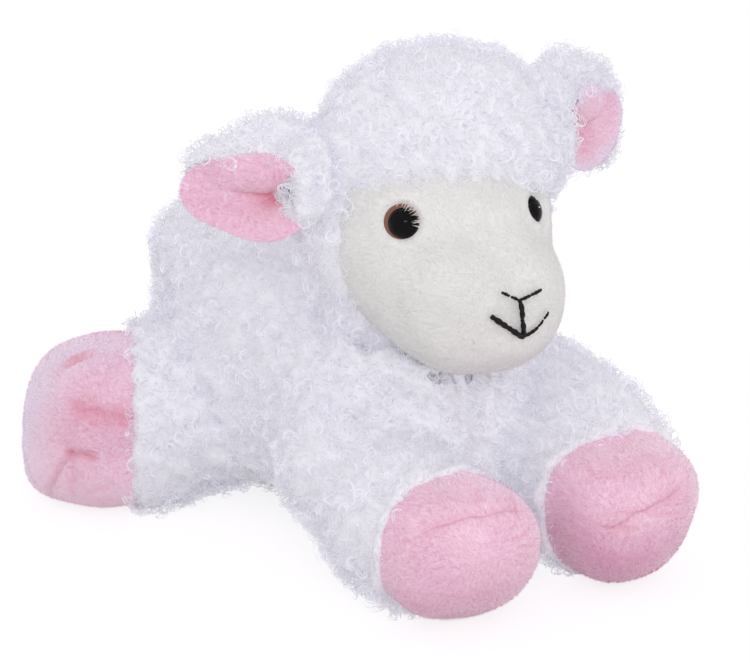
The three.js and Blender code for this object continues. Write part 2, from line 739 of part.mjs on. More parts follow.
function buildStitches() {
  const nose = acrossShares.map((share) => [
    NOSE_X * share,
    THREE.MathUtils.lerp(NOSE_LOW_Z, NOSE_TOP_Z, Math.abs(share)),
  ]);
  const mouth = acrossShares.map((share) => [
    MOUTH_X * share,
    THREE.MathUtils.lerp(MOUTH_LOW_Z, MOUTH_CORNER_Z, share ** 2),
  ]);
  const clear = NOSE_THREAD_RADIUS + MOUTH_THREAD_RADIUS + GAP;
  const lip = acrossShares.map((share) => [
    0,
    THREE.MathUtils.mapLinear(share, -1, 1, MOUTH_LOW_Z + clear, NOSE_LOW_Z - clear),
  ]);
  piece(headPieces, "nose_stitch", stitched(nose, NOSE_THREAD_RADIUS), thread);
  piece(headPieces, "lip_stitch", stitched(lip, NOSE_THREAD_RADIUS), thread);
  piece(headPieces, "mouth_stitch", stitched(mouth, MOUTH_THREAD_RADIUS), thread);
}

// The part of a leaf behind its rim, with the rim in front of the root's middle.
function cupped(form, grow = 0) {
  const behindRim = halfSpace(point(0, 0, -GAP), Z_AXIS.clone().negate());
  return plump(form, grow).intersect(behindRim).translate(0, 0, EAR_DEPTH / 2);
}

// An ear: a fleece leaf with its root, and the pink lining in its cup.
function buildEar(name, { placing }) {
  const root = ball(point(0, 0, 0), EAR_ROOT_RADIUS);
  const cup = plump(liningForm, GAP).translate(0, 0, EAR_DEPTH / 2);
  const outer = cupped(leafForm).add(root).subtract(cup);
  const lining = cupped(liningForm).subtract(cupped(liningForm, -PLUSH_WALL));
  piece(headPieces, `ear_${name}_outer`, outer.transform(placing.elements), fleece);
  piece(headPieces, `ear_${name}_lining`, lining.transform(placing.elements), pinkPlush);
}

// The space in the hood for an ear's root, and for its leaf as it flaps.
function earSpace({ placing }) {
  const root = socket(point(0, 0, 0), EAR_ROOT_RADIUS);
  const flap = { through: point(0, 0, 0), axis: Z_AXIS, low: -EAR_DOWN, high: EAR_UP };
  const form = { ...leafForm, lobes: sweptLobe(leafForm.lobes[0], flap), blend: SWEEP_BLEND };
  const leaf = plump(form, SWEEP_CLEARANCE).translate(0, 0, EAR_DEPTH / 2);
  return leaf.add(root).transform(placing.elements);
}

function buildHead() {
  const inner = plump(headForm, -PLUSH_WALL);
  const earSpaces = earSpace(ears.right).add(earSpace(ears.left));
  const cuts = neckSpace.add(earSpaces);
  const hood = plump(headForm, HOOD_RISE).subtract(inner).subtract(cuts).subtract(faceOpening(GAP));
  piece(headPieces, "hood_right", hood.intersect(rightSide), fleece);
  piece(headPieces, "hood_left", hood.intersect(leftSide), fleece);
  const bothEyes = (profile) => turnedOnFace(profile, RIGHT).add(turnedOnFace(profile, LEFT));
  const bores = bothEyes(disc(SHANK_RADIUS + GAP, domeLow - SHANK_LENGTH - GAP, OVERRUN));
  const seats = bothEyes(disc(IRIS_RADIUS + GAP, 0, OVERRUN));
  const pockets = bothEyes(disc(WASHER_RADIUS + GAP, washerHigh - WASHER_THICKNESS - GAP, washerHigh + GAP));
  const eyeSpaces = bores.add(seats).add(pockets);
  const faceSkin = plump(headForm).subtract(inner).intersect(faceOpening(0));
  piece(headPieces, "face_panel", faceSkin.subtract(neckSpace).subtract(eyeSpaces), creamPlush);
  const stuffing = plump(headForm, -PLUSH_WALL - GAP).subtract(cuts).subtract(eyeSpaces);
  piece(headPieces, "head_filling", stuffing, filling);
  buildEye("right", RIGHT);
  buildEye("left", LEFT);
  buildStitches();
  buildEar("right", ears.right);
  buildEar("left", ears.left);
  headPieces.applyMatrix4(headPlacing);
  lamb.add(headPieces);
}

buildTorso();
buildNeck();
buildHead();
for (const [name, leg] of Object.entries(legs)) buildLeg(name, leg);
buildTail();

// Lines that the pieces turn about, before the lamb is centred
const earJoint = ({ root, joint }) => ({
  ...joint,
  through: root.clone().applyMatrix4(headPlacing),
  axis: joint.axis.clone().transformDirection(headPlacing),
});
lamb.userData.hinges = {
  head_turn: turnJoint,
  head_nod: nodJoint,
  ear_right_flap: earJoint(ears.right),
  ear_left_flap: earJoint(ears.left),
  ...Object.fromEntries(Object.entries(legs).map(([name, leg]) => [`${name}_lift`, leg.joint])),
  tail_lift: tailJoint,
};

// The lamb stands over the origin.
const bounds = new THREE.Box3().setFromObject(lamb);
const middle = bounds.getCenter(point(0, 0, 0));
lamb.position.set(-middle.x, -middle.y, -bounds.min.z);

export default lamb;
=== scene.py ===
"""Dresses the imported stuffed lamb: curly fleece, short plush, safety eyes and embroidery.

The lamb faces -Y and its right side is at -X. All sizes here are in millimetres until a mesh is made.
"""

import logging
import math
from dataclasses import dataclass, replace
from enum import Enum
from functools import partial
from typing import Callable

import bpy
import numpy as np
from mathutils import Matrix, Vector


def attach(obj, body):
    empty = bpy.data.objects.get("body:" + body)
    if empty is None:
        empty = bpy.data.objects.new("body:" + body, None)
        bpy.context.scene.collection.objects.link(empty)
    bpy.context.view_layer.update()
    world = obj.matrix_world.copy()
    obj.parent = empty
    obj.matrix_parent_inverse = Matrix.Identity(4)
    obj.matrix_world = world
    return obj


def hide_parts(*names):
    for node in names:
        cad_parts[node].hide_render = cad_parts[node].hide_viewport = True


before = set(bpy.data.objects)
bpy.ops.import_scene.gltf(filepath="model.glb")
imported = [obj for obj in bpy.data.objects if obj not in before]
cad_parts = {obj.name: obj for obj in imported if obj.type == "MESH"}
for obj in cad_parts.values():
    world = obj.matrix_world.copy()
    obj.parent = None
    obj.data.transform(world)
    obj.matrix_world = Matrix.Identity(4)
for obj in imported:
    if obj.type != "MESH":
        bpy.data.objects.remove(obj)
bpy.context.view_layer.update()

log = logging.getLogger("lamb")

Array = np.ndarray
Triple = tuple[float, float, float]
Pair = tuple[float, float]
Field = Callable[[Array], Array]  # a value for each place
Adder = Callable[..., bpy.types.Node]  # add_node for one tree

MM = 0.001
STAND_Y = 13.537  # the lamb's own origin lies this far behind the frame's
FLOOR_CLEAR = 0.05  # lowest place of any fibre over the floor
MOST_TRIANGLES = 190_000  # of one piece
FIBRE_SIDES = 3
NORTH = (0.0, 1.0, 0.0)
NECK = (0.0, -26.0, 74.0)  # where the head turns on the stuffed neck
FLEECE_DEPTH = 1.9  # from the fleece's outer reach in to its backing
PLUSH_DEPTH = 0.9  # from the plush's outer reach in to its backing
SLEEVE_RISE = 2.8  # of a leg's fleece over its paw's plush
HOOD_RISE = 5.5  # of the head's fleece over the face's plush
TUCK = -3.5  # how deep fleece lies where it dives under plush
VALLEY_FILL = 2.0  # how far two fleeces swell where they meet
VALLEY_WIDTH = 5.0


class Side(Enum):
    """The lamb's own right and left, with the sign of x on that side."""

    RIGHT = -1
    LEFT = 1

    @property
    def word(self) -> str:
        """The side as it stands in the names of nodes and bodies."""
        return self.name.lower()


def unit(vector: Array) -> Array:
    """Vectors along the last axis, made one long."""
    vector = np.asarray(vector, float)
    return vector / np.maximum(np.linalg.norm(vector, axis=-1, keepdims=True), 1e-12)


def smoothstep(low: float, high: float, value: Array) -> Array:
    """A soft step from 0 at low to 1 at high: 3t^2 - 2t^3."""
    share = np.clip((value - low) / (high - low), 0.0, 1.0)
    return share * share * (3.0 - 2.0 * share)


def hump(away: Array, width: float, power: int = 2) -> Array:
    """A soft hump, 1 in its middle: exp(-(away / width)^power)."""
    return np.exp(-((away / width) ** power))


def turning(axis: Triple, degrees: float) -> Array:
    """The matrix that turns about an axis through the origin, by Rodrigues' formula.

    Args:
        axis: The axis, of any length.
        degrees: How far it turns.
    Returns:
        The matrix.
    """
    x, y, z = unit(np.array(axis))
    angle = math.radians(degrees)
    cross = np.array([[0, -z, y], [z, 0, -x], [-y, x, 0]])
    return np.eye(3) + math.sin(angle) * cross + (1 - math.cos(angle)) * cross @ cross


def waves(points: Array, length: float, seed: int, count: int = 18) -> Array:
    """A smooth random field of about unit size: plane waves of one length with random ways and phases.

    Args:
        points: Places, three numbers along the last axis.
        length: The waves' length in mm.
        seed: Which field.
        count: How many waves are summed.
    Returns:
        One number for each place.
    """
    rng = np.random.default_rng(seed)
    ways = unit(rng.normal(size=(count, 3))) * (2 * math.pi / length)
    phases = rng.uniform(0, 2 * math.pi, count)
    return np.sin(points @ ways.T + phases).sum(-1) * math.sqrt(2 / count)


def swirls(points: Array, length: float, seed: int) -> Array:
    """Directions that wander smoothly: three fields of waves side by side."""
    return np.stack([waves(points, length, seed + k) for k in range(3)], -1)


def halving(within: Field, shape: tuple[int, ...], far: float, rounds: int) -> Array:
    """The greatest distances that are still within, found by halving what lies between 0 and far.

    Args:
        within: Says which distances are.
        shape: Of the array of distances.
        far: A distance that is never within.
        rounds: How often it halves.
    Returns:
        The distances.
    """
    inside, outside = np.zeros(shape), np.full(shape, far)
    for _ in range(rounds):
        middle = (inside + outside) / 2
        kept = within(middle)
        inside, outside = np.where(kept, middle, inside), np.where(kept, outside, middle)
    return inside


@dataclass(frozen=True)
class Placing:
    """A turn and a shift that put a piece's own points into the frame."""

    turn: Array
    shift: Array

    def out(self, points: Array) -> Array:
        """Own points, put into the frame."""
        return points @ self.turn.T + self.shift

    def back(self, points: Array) -> Array:
        """Points of the frame, in the piece's own axes."""
        return (points - self.shift) @ self.turn

    def after(self, other: "Placing") -> "Placing":
        """Another placing, and then this one."""
        return Placing(self.turn @ other.turn, self.out(other.shift))


STANDING = Placing(np.eye(3), np.array([0.0, STAND_Y, 0.0]))


@dataclass(frozen=True)
class Lobe:
    """One part of a stuffed form: a rounded ellipsoid with a middle and three full sizes."""

    middle: Triple
    size: Triple
    power: float = 2.0


@dataclass(frozen=True)
class Swelling:
    """A soft rise of a form's surface, or a hollow where it is negative: rise * exp(-(away / reach)^2)."""

    place: Triple
    reach: float
    rise: float

    def at(self, own: Array) -> Array:
        """How much own points rise."""
        return self.rise * hump(np.linalg.norm(own - np.array(self.place), axis=-1), self.reach)


def swells(*rows: tuple[float, ...], sign: int = 1) -> tuple[Swelling, ...]:
    """Swellings from rows of x, y, z, reach and rise, with x mirrored where the sign is -1."""
    return tuple(Swelling((x * sign, y, z), reach, rise) for x, y, z, reach, rise in rows)


def risen(swellings: tuple[Swelling, ...], own: Array) -> Array:
    """How much own points rise by all swellings together."""
    return sum((one.at(own) for one in swellings), np.zeros(own.shape[:-1]))


@dataclass(frozen=True)
class Crease:
    """A seam or pucker drawn into plush from one own point to another, in the plane of a middle.

    Attributes:
        start: One end.
        end: The other end.
        width: How far the soft hollow beside it reaches.
        depth: How deep the hollow is.
        blush: How strong the painted shade, a deeper colour, is along it.
        sewn: How plainly a fine sewn line shows.
    """

    start: Triple
    end: Triple
    width: float
    depth: float
    blush: float
    sewn: float = 0.0

    def off(self, own: Array, middle: Triple) -> tuple[Array, Array]:
        """How far own points lie off the crease's plane, and how well its two ends hold them, 0 to 1.

        Args:
            own: Own points.
            middle: A place that the crease's plane runs through.
        Returns:
            Distances in mm, less than 0 on one side, and shares.
        """
        start, end, heart = (np.array(one) for one in (self.start, self.end, middle))
        run = end - start
        share = ((own - start) @ run) / (run @ run)
        held = smoothstep(-0.2, 0.12, share) * smoothstep(1.2, 0.88, share)
        ahead = (own - heart) @ unit((start + end) / 2 - heart) > 0
        return (own - heart) @ unit(np.cross(run, start - heart)), held * ahead


@dataclass(frozen=True)
class Form:
    """A stuffed form of blended lobes, seen from its heart along rays round its pole."""

    lobes: tuple[Lobe, ...]
    heart: Triple
    pole: Triple
    placing: Placing = STANDING
    blend: float = 9.0
    swellings: tuple[Swelling, ...] = ()

    def depth(self, points: Array, grow: Array | float = 0.0) -> Array:
        """How far out own points lie: 1 on the surface, less inside.

        Each lobe gives (|x/a|^p + |y/b|^p + |z/c|^p)^(1/p), and the lobes blend as
        (sum of reach^-blend)^(-1/blend).

        Args:
            points: Own points.
            grow: How much larger each lobe is on every side.
        Returns:
            One number for each point.
        """
        grow = np.asarray(grow, float)[..., None]
        total = 0.0
        for one in self.lobes:
            away = np.abs(points - np.array(one.middle)) / (np.array(one.size) / 2 + grow)
            reach = (away**one.power).sum(-1) ** (1 / one.power)
            total = total + np.maximum(reach, 1e-6) ** -self.blend
        return total ** (-1 / self.blend)

    def holds(self, points: Array, grow: float = 0.0) -> Array:
        """Which points of the frame lie inside the form, made larger by grow."""
        return self.depth(self.placing.back(points), grow) < 1.0

    def reach(self, ways: Array, grow: Array | float = 0.0, clear: Field | None = None) -> Array:
        """How far rays from the heart go before they leave the form, or meet what it is clear of.

        Args:
            ways: The rays' directions.
            grow: How much larger the form is along each ray.
            clear: Says which own points the form may fill.
        Returns:
            Distances in mm.
        """

        def within(far: Array) -> Array:
            """Which places that far along the rays the form may fill."""
            at = np.array(self.heart) + ways * far[..., None]
            filled = self.depth(at, grow) < 1.0
            return filled if clear is None else filled & clear(at)

        return halving(within, ways.shape[:-1], 150.0, 26)

    def sheet(
        self, rings: int, spokes: int, grow: float | Field = 0.0, clear: Field | None = None
    ) -> "Sheet":
        """The form's closed surface, on rings round its pole.

        Args:
            rings: Steps from pole to pole.
            spokes: Steps round the pole.
            grow: How far the surface stands out, or a function that gives it from own points.
            clear: Says which own points the form may fill.
        Returns:
            The surface in the frame.
        """
        pole = unit(np.array(self.pole))
        side = unit(np.cross(pole, (0.31, 0.17, 1.0) if abs(pole[2]) < 0.9 else (1.0, 0.2, 0.1)))
        polar = np.linspace(0, math.pi, rings + 1)[:, None, None]
        around = np.linspace(0, 2 * math.pi, spokes, endpoint=False)[None, :, None]
        across = np.cos(around) * side + np.sin(around) * np.cross(pole, side)
        ways = np.cos(polar) * pole + np.sin(polar) * across
        heart = np.array(self.heart)
        plain = heart + ways * self.reach(ways)[..., None]
        rise = grow(plain) if callable(grow) else np.full(plain.shape[:-1], grow)
        for one in self.swellings:
            rise = rise + one.at(plain)
        return Sheet(self.placing.out(heart + ways * self.reach(ways, rise, clear)[..., None]))

    def front(self, across: Array | float, up: Array | float) -> Array:
        """Own points of the front surface at given x and z, found along -Y.

        Args:
            across: Own x.
            up: Own z.
        Returns:
            The points.
        """
        across, up = np.broadcast_arrays(np.asarray(across, float), np.asarray(up, float))

        def ahead(far: Array) -> Array:
            """Places that far in front of the heart."""
            return np.stack([across, self.heart[1] - far, up], -1)

        return ahead(halving(lambda far: self.depth(ahead(far)) < 1.0, across.shape, 80.0, 30))

    def gap(self, own: Array) -> Array:
        """About how far own points lie outside the form, in mm; less than 0 is inside."""
        deep = self.depth(own)
        return (1 - 1 / np.maximum(deep, 1e-3)) * np.linalg.norm(own - np.array(self.heart), axis=-1)

    def outward(self, own: Array) -> Array:
        """The direction straight out of the form at own points, from the slope of depth."""
        steps = 0.02 * np.eye(3)
        return unit(np.stack([self.depth(own + step) - self.depth(own - step) for step in steps], -1))


@dataclass
class Sheet:
    """A closed grid of points in the frame: rows from pole to pole, columns all the way round."""

    points: Array

    def normals(self) -> Array:
        """Outward directions: the cross product of the steps along rows and columns.

        Returns:
            One direction for each point.
        """
        down = np.gradient(self.points, axis=0)
        down[0] = self.points[1] - self.points[1].mean(0)
        down[-1] = self.points[-2].mean(0) - self.points[-2]
        along = np.roll(self.points, -1, 1) - np.roll(self.points, 1, 1)
        along[0], along[-1] = along[1], along[-2]
        normal = unit(np.cross(down, along))
        normal[0], normal[-1] = unit(normal[1].mean(0)), unit(normal[-2].mean(0))
        outward = self.points - self.points.reshape(-1, 3).mean(0)
        return normal if (normal * outward).sum() > 0 else -normal

    def moved(self, distance: Array) -> "Sheet":
        """The same grid, moved out along its normals.

        Args:
            distance: How far each point moves, in mm.
        Returns:
            The new grid.
        """
        distance = np.array(distance)
        distance[0], distance[-1] = distance[0].mean(), distance[-1].mean()
        return Sheet(self.points + self.normals() * distance[..., None])

    def grounded(self) -> "Sheet":
        """The same grid, pressed flat on the floor."""
        points = self.points.copy()
        points[..., 2] = np.maximum(points[..., 2], FLOOR_CLEAR)
        return Sheet(points)

    def scatter(self, spacing: float, rng: np.random.Generator) -> tuple[Array, Array]:
        """Evenly spread places on the sheet, one for each square of the spacing, and directions outward.

        Every cell gets its share of places by its area, and a place lies anywhere in its cell.

        Args:
            spacing: The square's side in mm.
            rng: The random draw.
        Returns:
            The places, and the directions.
        """
        points, normals = self.points, self.normals()
        right = np.roll(points, -1, 1)
        slant, counter = right[1:] - points[:-1], points[1:] - right[:-1]
        area = np.linalg.norm(np.cross(slant, counter), axis=-1) / 2
        running = np.cumsum(area.ravel())
        count = int(running[-1] / spacing**2)
        picks = (np.arange(count) + rng.uniform(0, 1, count)) / count * running[-1]
        cell = np.minimum(np.searchsorted(running, picks), running.size - 1)
        row, column = np.unravel_index(cell, area.shape)
        u, v = rng.uniform(0, 1, (2, count, 1))
        after = (column + 1) % points.shape[1]

        def within(grid: Array) -> Array:
            """A grid's value at each pick, mixed from its cell's four corners."""
            top = grid[row, column] * (1 - u) + grid[row, after] * u
            low = grid[row + 1, column] * (1 - u) + grid[row + 1, after] * u
            return top * (1 - v) + low * v

        return within(points), unit(within(normals))


def make_piece(
    name: str, vertices: Array, faces: list[Array], material: bpy.types.Material,
    attributes: dict[str, Array] | None = None, smooth: bool = True,
) -> bpy.types.Object:
    """Makes a mesh object at the origin.

    Args:
        name: The piece's name.
        vertices: Places in mm in the frame, three numbers in each row.
        faces: Arrays of vertex numbers, one row for each face, all of one length in each array.
        material: The piece's finish.
        attributes: One number for each vertex under each name.
        smooth: Whether light sees rounded faces, or flat ones as on three-sided fibres.
    Returns:
        The object.
    """
    mesh = bpy.data.meshes.new(name)
    mesh.vertices.add(len(vertices))
    mesh.vertices.foreach_set("co", (np.asarray(vertices) * MM).astype(np.float32).ravel())
    corners = np.concatenate([rows.ravel() for rows in faces]).astype(np.int32)
    counts = np.concatenate([np.full(len(rows), rows.shape[1]) for rows in faces])
    starts = np.concatenate([[0], np.cumsum(counts)[:-1]]).astype(np.int32)
    mesh.loops.add(len(corners))
    mesh.loops.foreach_set("vertex_index", corners)
    mesh.polygons.add(len(counts))
    mesh.polygons.foreach_set("loop_start", starts)
    mesh.polygons.foreach_set("use_smooth", np.full(len(counts), smooth))
    mesh.update(calc_edges=True)
    mesh.validate()
    for key, values in (attributes or {}).items():
        mesh.attributes.new(key, "FLOAT", "POINT").data.foreach_set("value", values.astype(np.float32))
    mesh.materials.append(material)
    piece = bpy.data.objects.new(name, mesh)
    bpy.context.scene.collection.objects.link(piece)
    return piece


def skin_piece(
    name: str, sheet: Sheet, material: bpy.types.Material, attributes: dict[str, Array] | None = None
) -> bpy.types.Object:
    """Makes a closed skin from a sheet, with its faces outwards and each pole a single point.

    Args:
        name: The piece's name.
        sheet: The surface.
        material: Its finish.
        attributes: One number for each of the sheet's points under each name.
    Returns:
        The object.
    """
    rows, columns = sheet.points.shape[:2]

    def flat(grid: Array) -> Array:
        """A grid's values with each pole once."""
        return np.concatenate([grid[:1, 0], grid[1:-1].reshape(-1, *grid.shape[2:]), grid[-1:, 0]])

    ring = 1 + np.arange(rows - 2)[:, None] * columns + np.arange(columns)
    after = np.roll(ring, -1, 1)
    quads = np.stack([ring[:-1], ring[1:], after[1:], after[:-1]], -1).reshape(-1, 4)
    top = np.stack([np.zeros(columns, int), ring[0], after[0]], -1)
    low = np.stack([np.full(columns, 1 + (rows - 2) * columns), after[-1], ring[-1]], -1)
    faces = [quads, np.concatenate([top, low])]
    vertices = flat(sheet.points)
    corner = vertices[quads]
    face_out = np.cross(corner[:, 2] - corner[:, 0], corner[:, 3] - corner[:, 1])
    if (face_out * (corner.mean(1) - vertices.mean(0))).sum() < 0:
        faces = [rows_of[:, ::-1] for rows_of in faces]
    values = {key: flat(grid) for key, grid in (attributes or {}).items()}
    return make_piece(name, vertices, faces, material, values)


def settle(
    piece: bpy.types.Object, body: str, nodes: tuple[str, ...] = ()
) -> None:
    """Gives a piece its body, hides the nodes that it replaces, and logs it.

    Args:
        piece: The piece.
        body: The body that it rides on.
        nodes: The solids that it replaces.
    """
    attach(piece, body)
    if nodes:
        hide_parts(*nodes)
    log.info("%s rides on %s: %d faces", piece.name, body, len(piece.data.polygons))


def tube_faces(count: int, rings: int, sides: int) -> list[Array]:
    """Quads along each of many tubes, and a cap on both its ends.

    Args:
        count: How many tubes.
        rings: Rings of one tube.
        sides: Corners of one ring.
    Returns:
        The quads, and the caps.
    """
    ring = np.arange(rings)[:, None] * sides + np.arange(sides)
    after = np.roll(ring, -1, 1)
    quads = np.stack([ring[:-1], after[:-1], after[1:], ring[1:]], -1).reshape(-1, 4)
    caps = np.stack([ring[0][::-1], ring[-1]])
    first = np.arange(count)[:, None, None] * rings * sides
    return [(first + quads).reshape(-1, 4), (first + caps).reshape(-1, sides)]


def spikes(roots: Array, tips: Array, first: Array, second: Array, radius: float) -> Array:
    """Three-sided spikes: corners at root + radius (cos a first + sin a second), and a tip.

    Args:
        roots: The middles of the spikes' feet.
        tips: Their tips.
        first: One direction across a spike.
        second: The other.
        radius: Of its foot.
    Returns:
        Points by spike, corner and coordinate.
    """
    angle = (np.array([0, 2, 4]) * math.pi / 3)[:, None]
    ring = np.cos(angle) * first[..., None, :] + np.sin(angle) * second[..., None, :]
    return np.concatenate([roots[:, None] + radius * ring, tips[:, None]], 1)


def spike_faces(count: int) -> list[Array]:
    """The four faces of every spike."""
    one = np.array([[0, 2, 1], [0, 1, 3], [1, 2, 3], [2, 0, 3]])
    return [(np.arange(count)[:, None, None] * 4 + one).reshape(-1, 3)]


@dataclass(frozen=True)
class Curl:
    """How one kind of loose curl is cut: thin three-sided fibres that wind into a loop.

    Attributes:
        spacing: Distance between roots in mm.
        radius: Least and greatest radius of the loops.
        turns: Least and greatest number of turns.
        thick: Thickness of a fibre.
        tilt: Least and greatest lean of the loop from upright towards lying on the cloth, in degrees.
        lift: How far the loop's top stands over the rest of the fleece.
        tint: Least and greatest share of the tip colour; the high shares of locks are a painted highlight.
        strands: Fibres side by side in one lock.
        steps: Straight parts of one fibre.
    """

    spacing: float
    radius: Pair
    turns: Pair
    thick: float
    tilt: Pair
    lift: float
    tint: Pair
    strands: int
    steps: int

    def grown(self, roots: Array, normals: Array, height: Array, rng: np.random.Generator) -> Array:
        """Fibres that rise from their roots and wind into a loop, by fibre, step, side and coordinate.

        With t from 0 to 1 the line is middle + r (cos a) u + r (sin a) w + drift t v, where u lies in the
        cloth, w stands up from it but for the tilt, v is square to both, a starts under the root and runs
        through the turns, and r shrinks as the curl closes.

        Args:
            roots: Where the locks start.
            normals: Directions out of the cloth there.
            height: How high each lock stands.
            rng: The random draw.
        Returns:
            The fibres' points.
        """
        count = len(roots)
        stray = unit(np.cross(normals, rng.normal(size=(count, 3))))
        tilt = np.radians(rng.uniform(*self.tilt, (count, 1)))
        radius = rng.uniform(*self.radius, (count, 1))
        turns = rng.uniform(*self.turns, (count, 1))
        start = rng.uniform(-0.8, -0.35, (count, 1)) * math.pi
        draws = (roots, normals, height[:, None], stray, tilt, radius, turns, start)
        draws = (np.repeat(one, self.strands, axis=0) for one in draws)
        roots, normals, height, along, tilt, radius, turns, start = draws
        count = len(roots)
        apart = np.tile(np.arange(self.strands) - (self.strands - 1) / 2, count // self.strands)[:, None]
        upward = np.cos(tilt) * normals + np.sin(tilt) * np.cross(normals, along)
        sideways = np.cross(along, upward)
        radius = radius * (1 + 0.13 * apart + rng.normal(0, 0.05, (count, 1)))
        share = np.linspace(0, 1, self.steps + 1)[None, :, None]
        angle = start[:, None] + 2 * math.pi * (turns + rng.normal(0, 0.06, (count, 1)))[:, None] * share
        shrink = radius[:, None] * (1 - 0.3 * share)
        wander = 0.22 * np.sin(3 * math.pi * share + rng.uniform(0, 6.28, (count, 1, 1)))
        middle = roots + (height + self.lift - radius * np.cos(tilt)) * normals
        line = middle[:, None] + shrink * (np.cos(angle) * along[:, None] + np.sin(angle) * upward[:, None])
        drift = radius[:, None] * (share - 0.5 + wander) + 0.45 * apart[:, None]
        line = line + drift * sideways[:, None]
        line[:, 0] = roots - 0.6 * normals
        ahead = unit(np.gradient(line, axis=1))
        first = unit(np.cross(ahead, sideways[:, None] + 1e-3))
        second = np.cross(ahead, first)
        taper = self.thick / 2 * (1 - 0.55 * share**3) * rng.uniform(0.8, 1.2, (count, 1, 1))
        corner = np.linspace(0, 2 * math.pi, FIBRE_SIDES, endpoint=False)[:, None]
        ring = np.cos(corner) * first[:, :, None] + np.sin(corner) * second[:, :, None]
        return line[:, :, None] + taper[..., None] * ring

    def tones_with_painted_light(self, count: int, rng: np.random.Generator) -> Array:
        """The share of the tip colour at every point: a painted shade, darker at the root, times one value
        for a fibre.

        Args:
            count: How many fibres.
            rng: The random draw.
        Returns:
            Shares by fibre, step and side.
        """
        share = np.linspace(0, 1, self.steps + 1)[None, :, None]
        one = rng.uniform(*self.tint, (count, 1, 1))
        return np.broadcast_to(smoothstep(-0.1, 0.4, share) * one, (count, self.steps + 1, FIBRE_SIDES))

    @property
    def triangles(self) -> int:
        """Triangles of one fibre."""
        return 2 * self.steps * FIBRE_SIDES + 2 * (FIBRE_SIDES - 2)


@dataclass(frozen=True)
class Pile:
    """How short plush stands: thin spikes that lean one way, as brushed, in mm and degrees."""

    length: Pair
    width: float
    lean: float
    spacing: float = 0.66

    def grown(self, roots: Array, normals: Array, ways: Array, rng: np.random.Generator) -> Array:
        """Spikes from roots a little under the skin, leaning along the brushed ways.

        Args:
            roots: Places on the skin.
            normals: Directions out of it.
            ways: The brushed directions.
            rng: The random draw.
        Returns:
            Points by spike, corner and coordinate.
        """
        count = len(roots)
        side = unit(np.cross(normals, ways))
        lean = np.radians(self.lean) + rng.normal(0, 0.16, (count, 1))
        flat = unit(ways - (ways * normals).sum(-1, keepdims=True) * normals)
        flat = unit(flat + rng.normal(0, 0.22, (count, 1)) * side)
        axis = np.cos(lean) * normals + np.sin(lean) * flat
        length = rng.uniform(*self.length, (count, 1))
        base = roots - 0.25 * normals
        return spikes(base, base + axis * length, side, unit(np.cross(axis, side)), self.width / 2)


class Plush(Enum):
    """The two short plushes, each with its record slot and the cut of its pile."""

    CREAM = ("cream_plush", Pile((0.8, 1.3), 0.15, 60.0))
    PINK = ("pink_plush", Pile((1.0, 1.6), 0.17, 58.0))

    @property
    def slot(self) -> str:
        """The record's material slot, under which its finishes are found too."""
        return self.value[0]


CURLS = Curl(1.52, (0.65, 1.5), (0.65, 1.1), 0.25, (0.0, 75.0), 0.1, (0.25, 0.6), strands=1, steps=5)
BELLY_CURLS = replace(CURLS, spacing=2.8)
FINE_CURLS = replace(CURLS, spacing=1.25, radius=(0.5, 1.2))
# Locks take a high share of the tip colour: a painted highlight for the glints of shiny fibres.
LOCKS = Curl(6.0, (1.2, 2.6), (0.6, 1.1), 0.24, (35.0, 85.0), 0.8, (0.7, 1.0), strands=3, steps=9)


def add_node(
    tree: bpy.types.NodeTree, kind: str, inputs: dict[str | int, object] | None = None, **settings: object
) -> bpy.types.Node:
    """Adds a shader node with its settings, and gives each input a value or a link.

    Args:
        tree: The material's nodes.
        kind: Blender's name of the node's class after ShaderNode.
        inputs: A value, a socket, or a node for its first socket, by the input's name or number.
        settings: The node's own settings.
    Returns:
        The node.
    """
    node = tree.nodes.new("ShaderNode" + kind)
    for key, value in settings.items():
        setattr(node, key, value)
    for key, value in (inputs or {}).items():
        if isinstance(value, bpy.types.Node):
            value = value.outputs[0]
        if isinstance(value, bpy.types.NodeSocket):
            tree.links.new(value, node.inputs[key])
        else:
            node.inputs[key].default_value = value
    return node


def colour(code: str) -> tuple[float, float, float, float]:
    """A colour of the screen, such as "e8b4c8", as the linear values that light works with.

    Args:
        code: Red, green and blue in hex.
    Returns:
        The linear values, and 1 for alpha.
    """
    shares = [int(code[i : i + 2], 16) / 255 for i in (0, 2, 4)]
    linear = [share / 12.92 if share <= 0.04045 else ((share + 0.055) / 1.055) ** 2.4 for share in shares]
    return (*linear, 1.0)


def start_material(name: str) -> tuple[bpy.types.Material, Adder]:
    """An empty node material, and what adds nodes to it.

    Args:
        name: The material's name.
    Returns:
        The material, and add_node for its nodes.
    """
    material = bpy.data.materials.new(name)
    material.use_nodes = True
    material.node_tree.nodes.clear()
    return material, partial(add_node, material.node_tree)


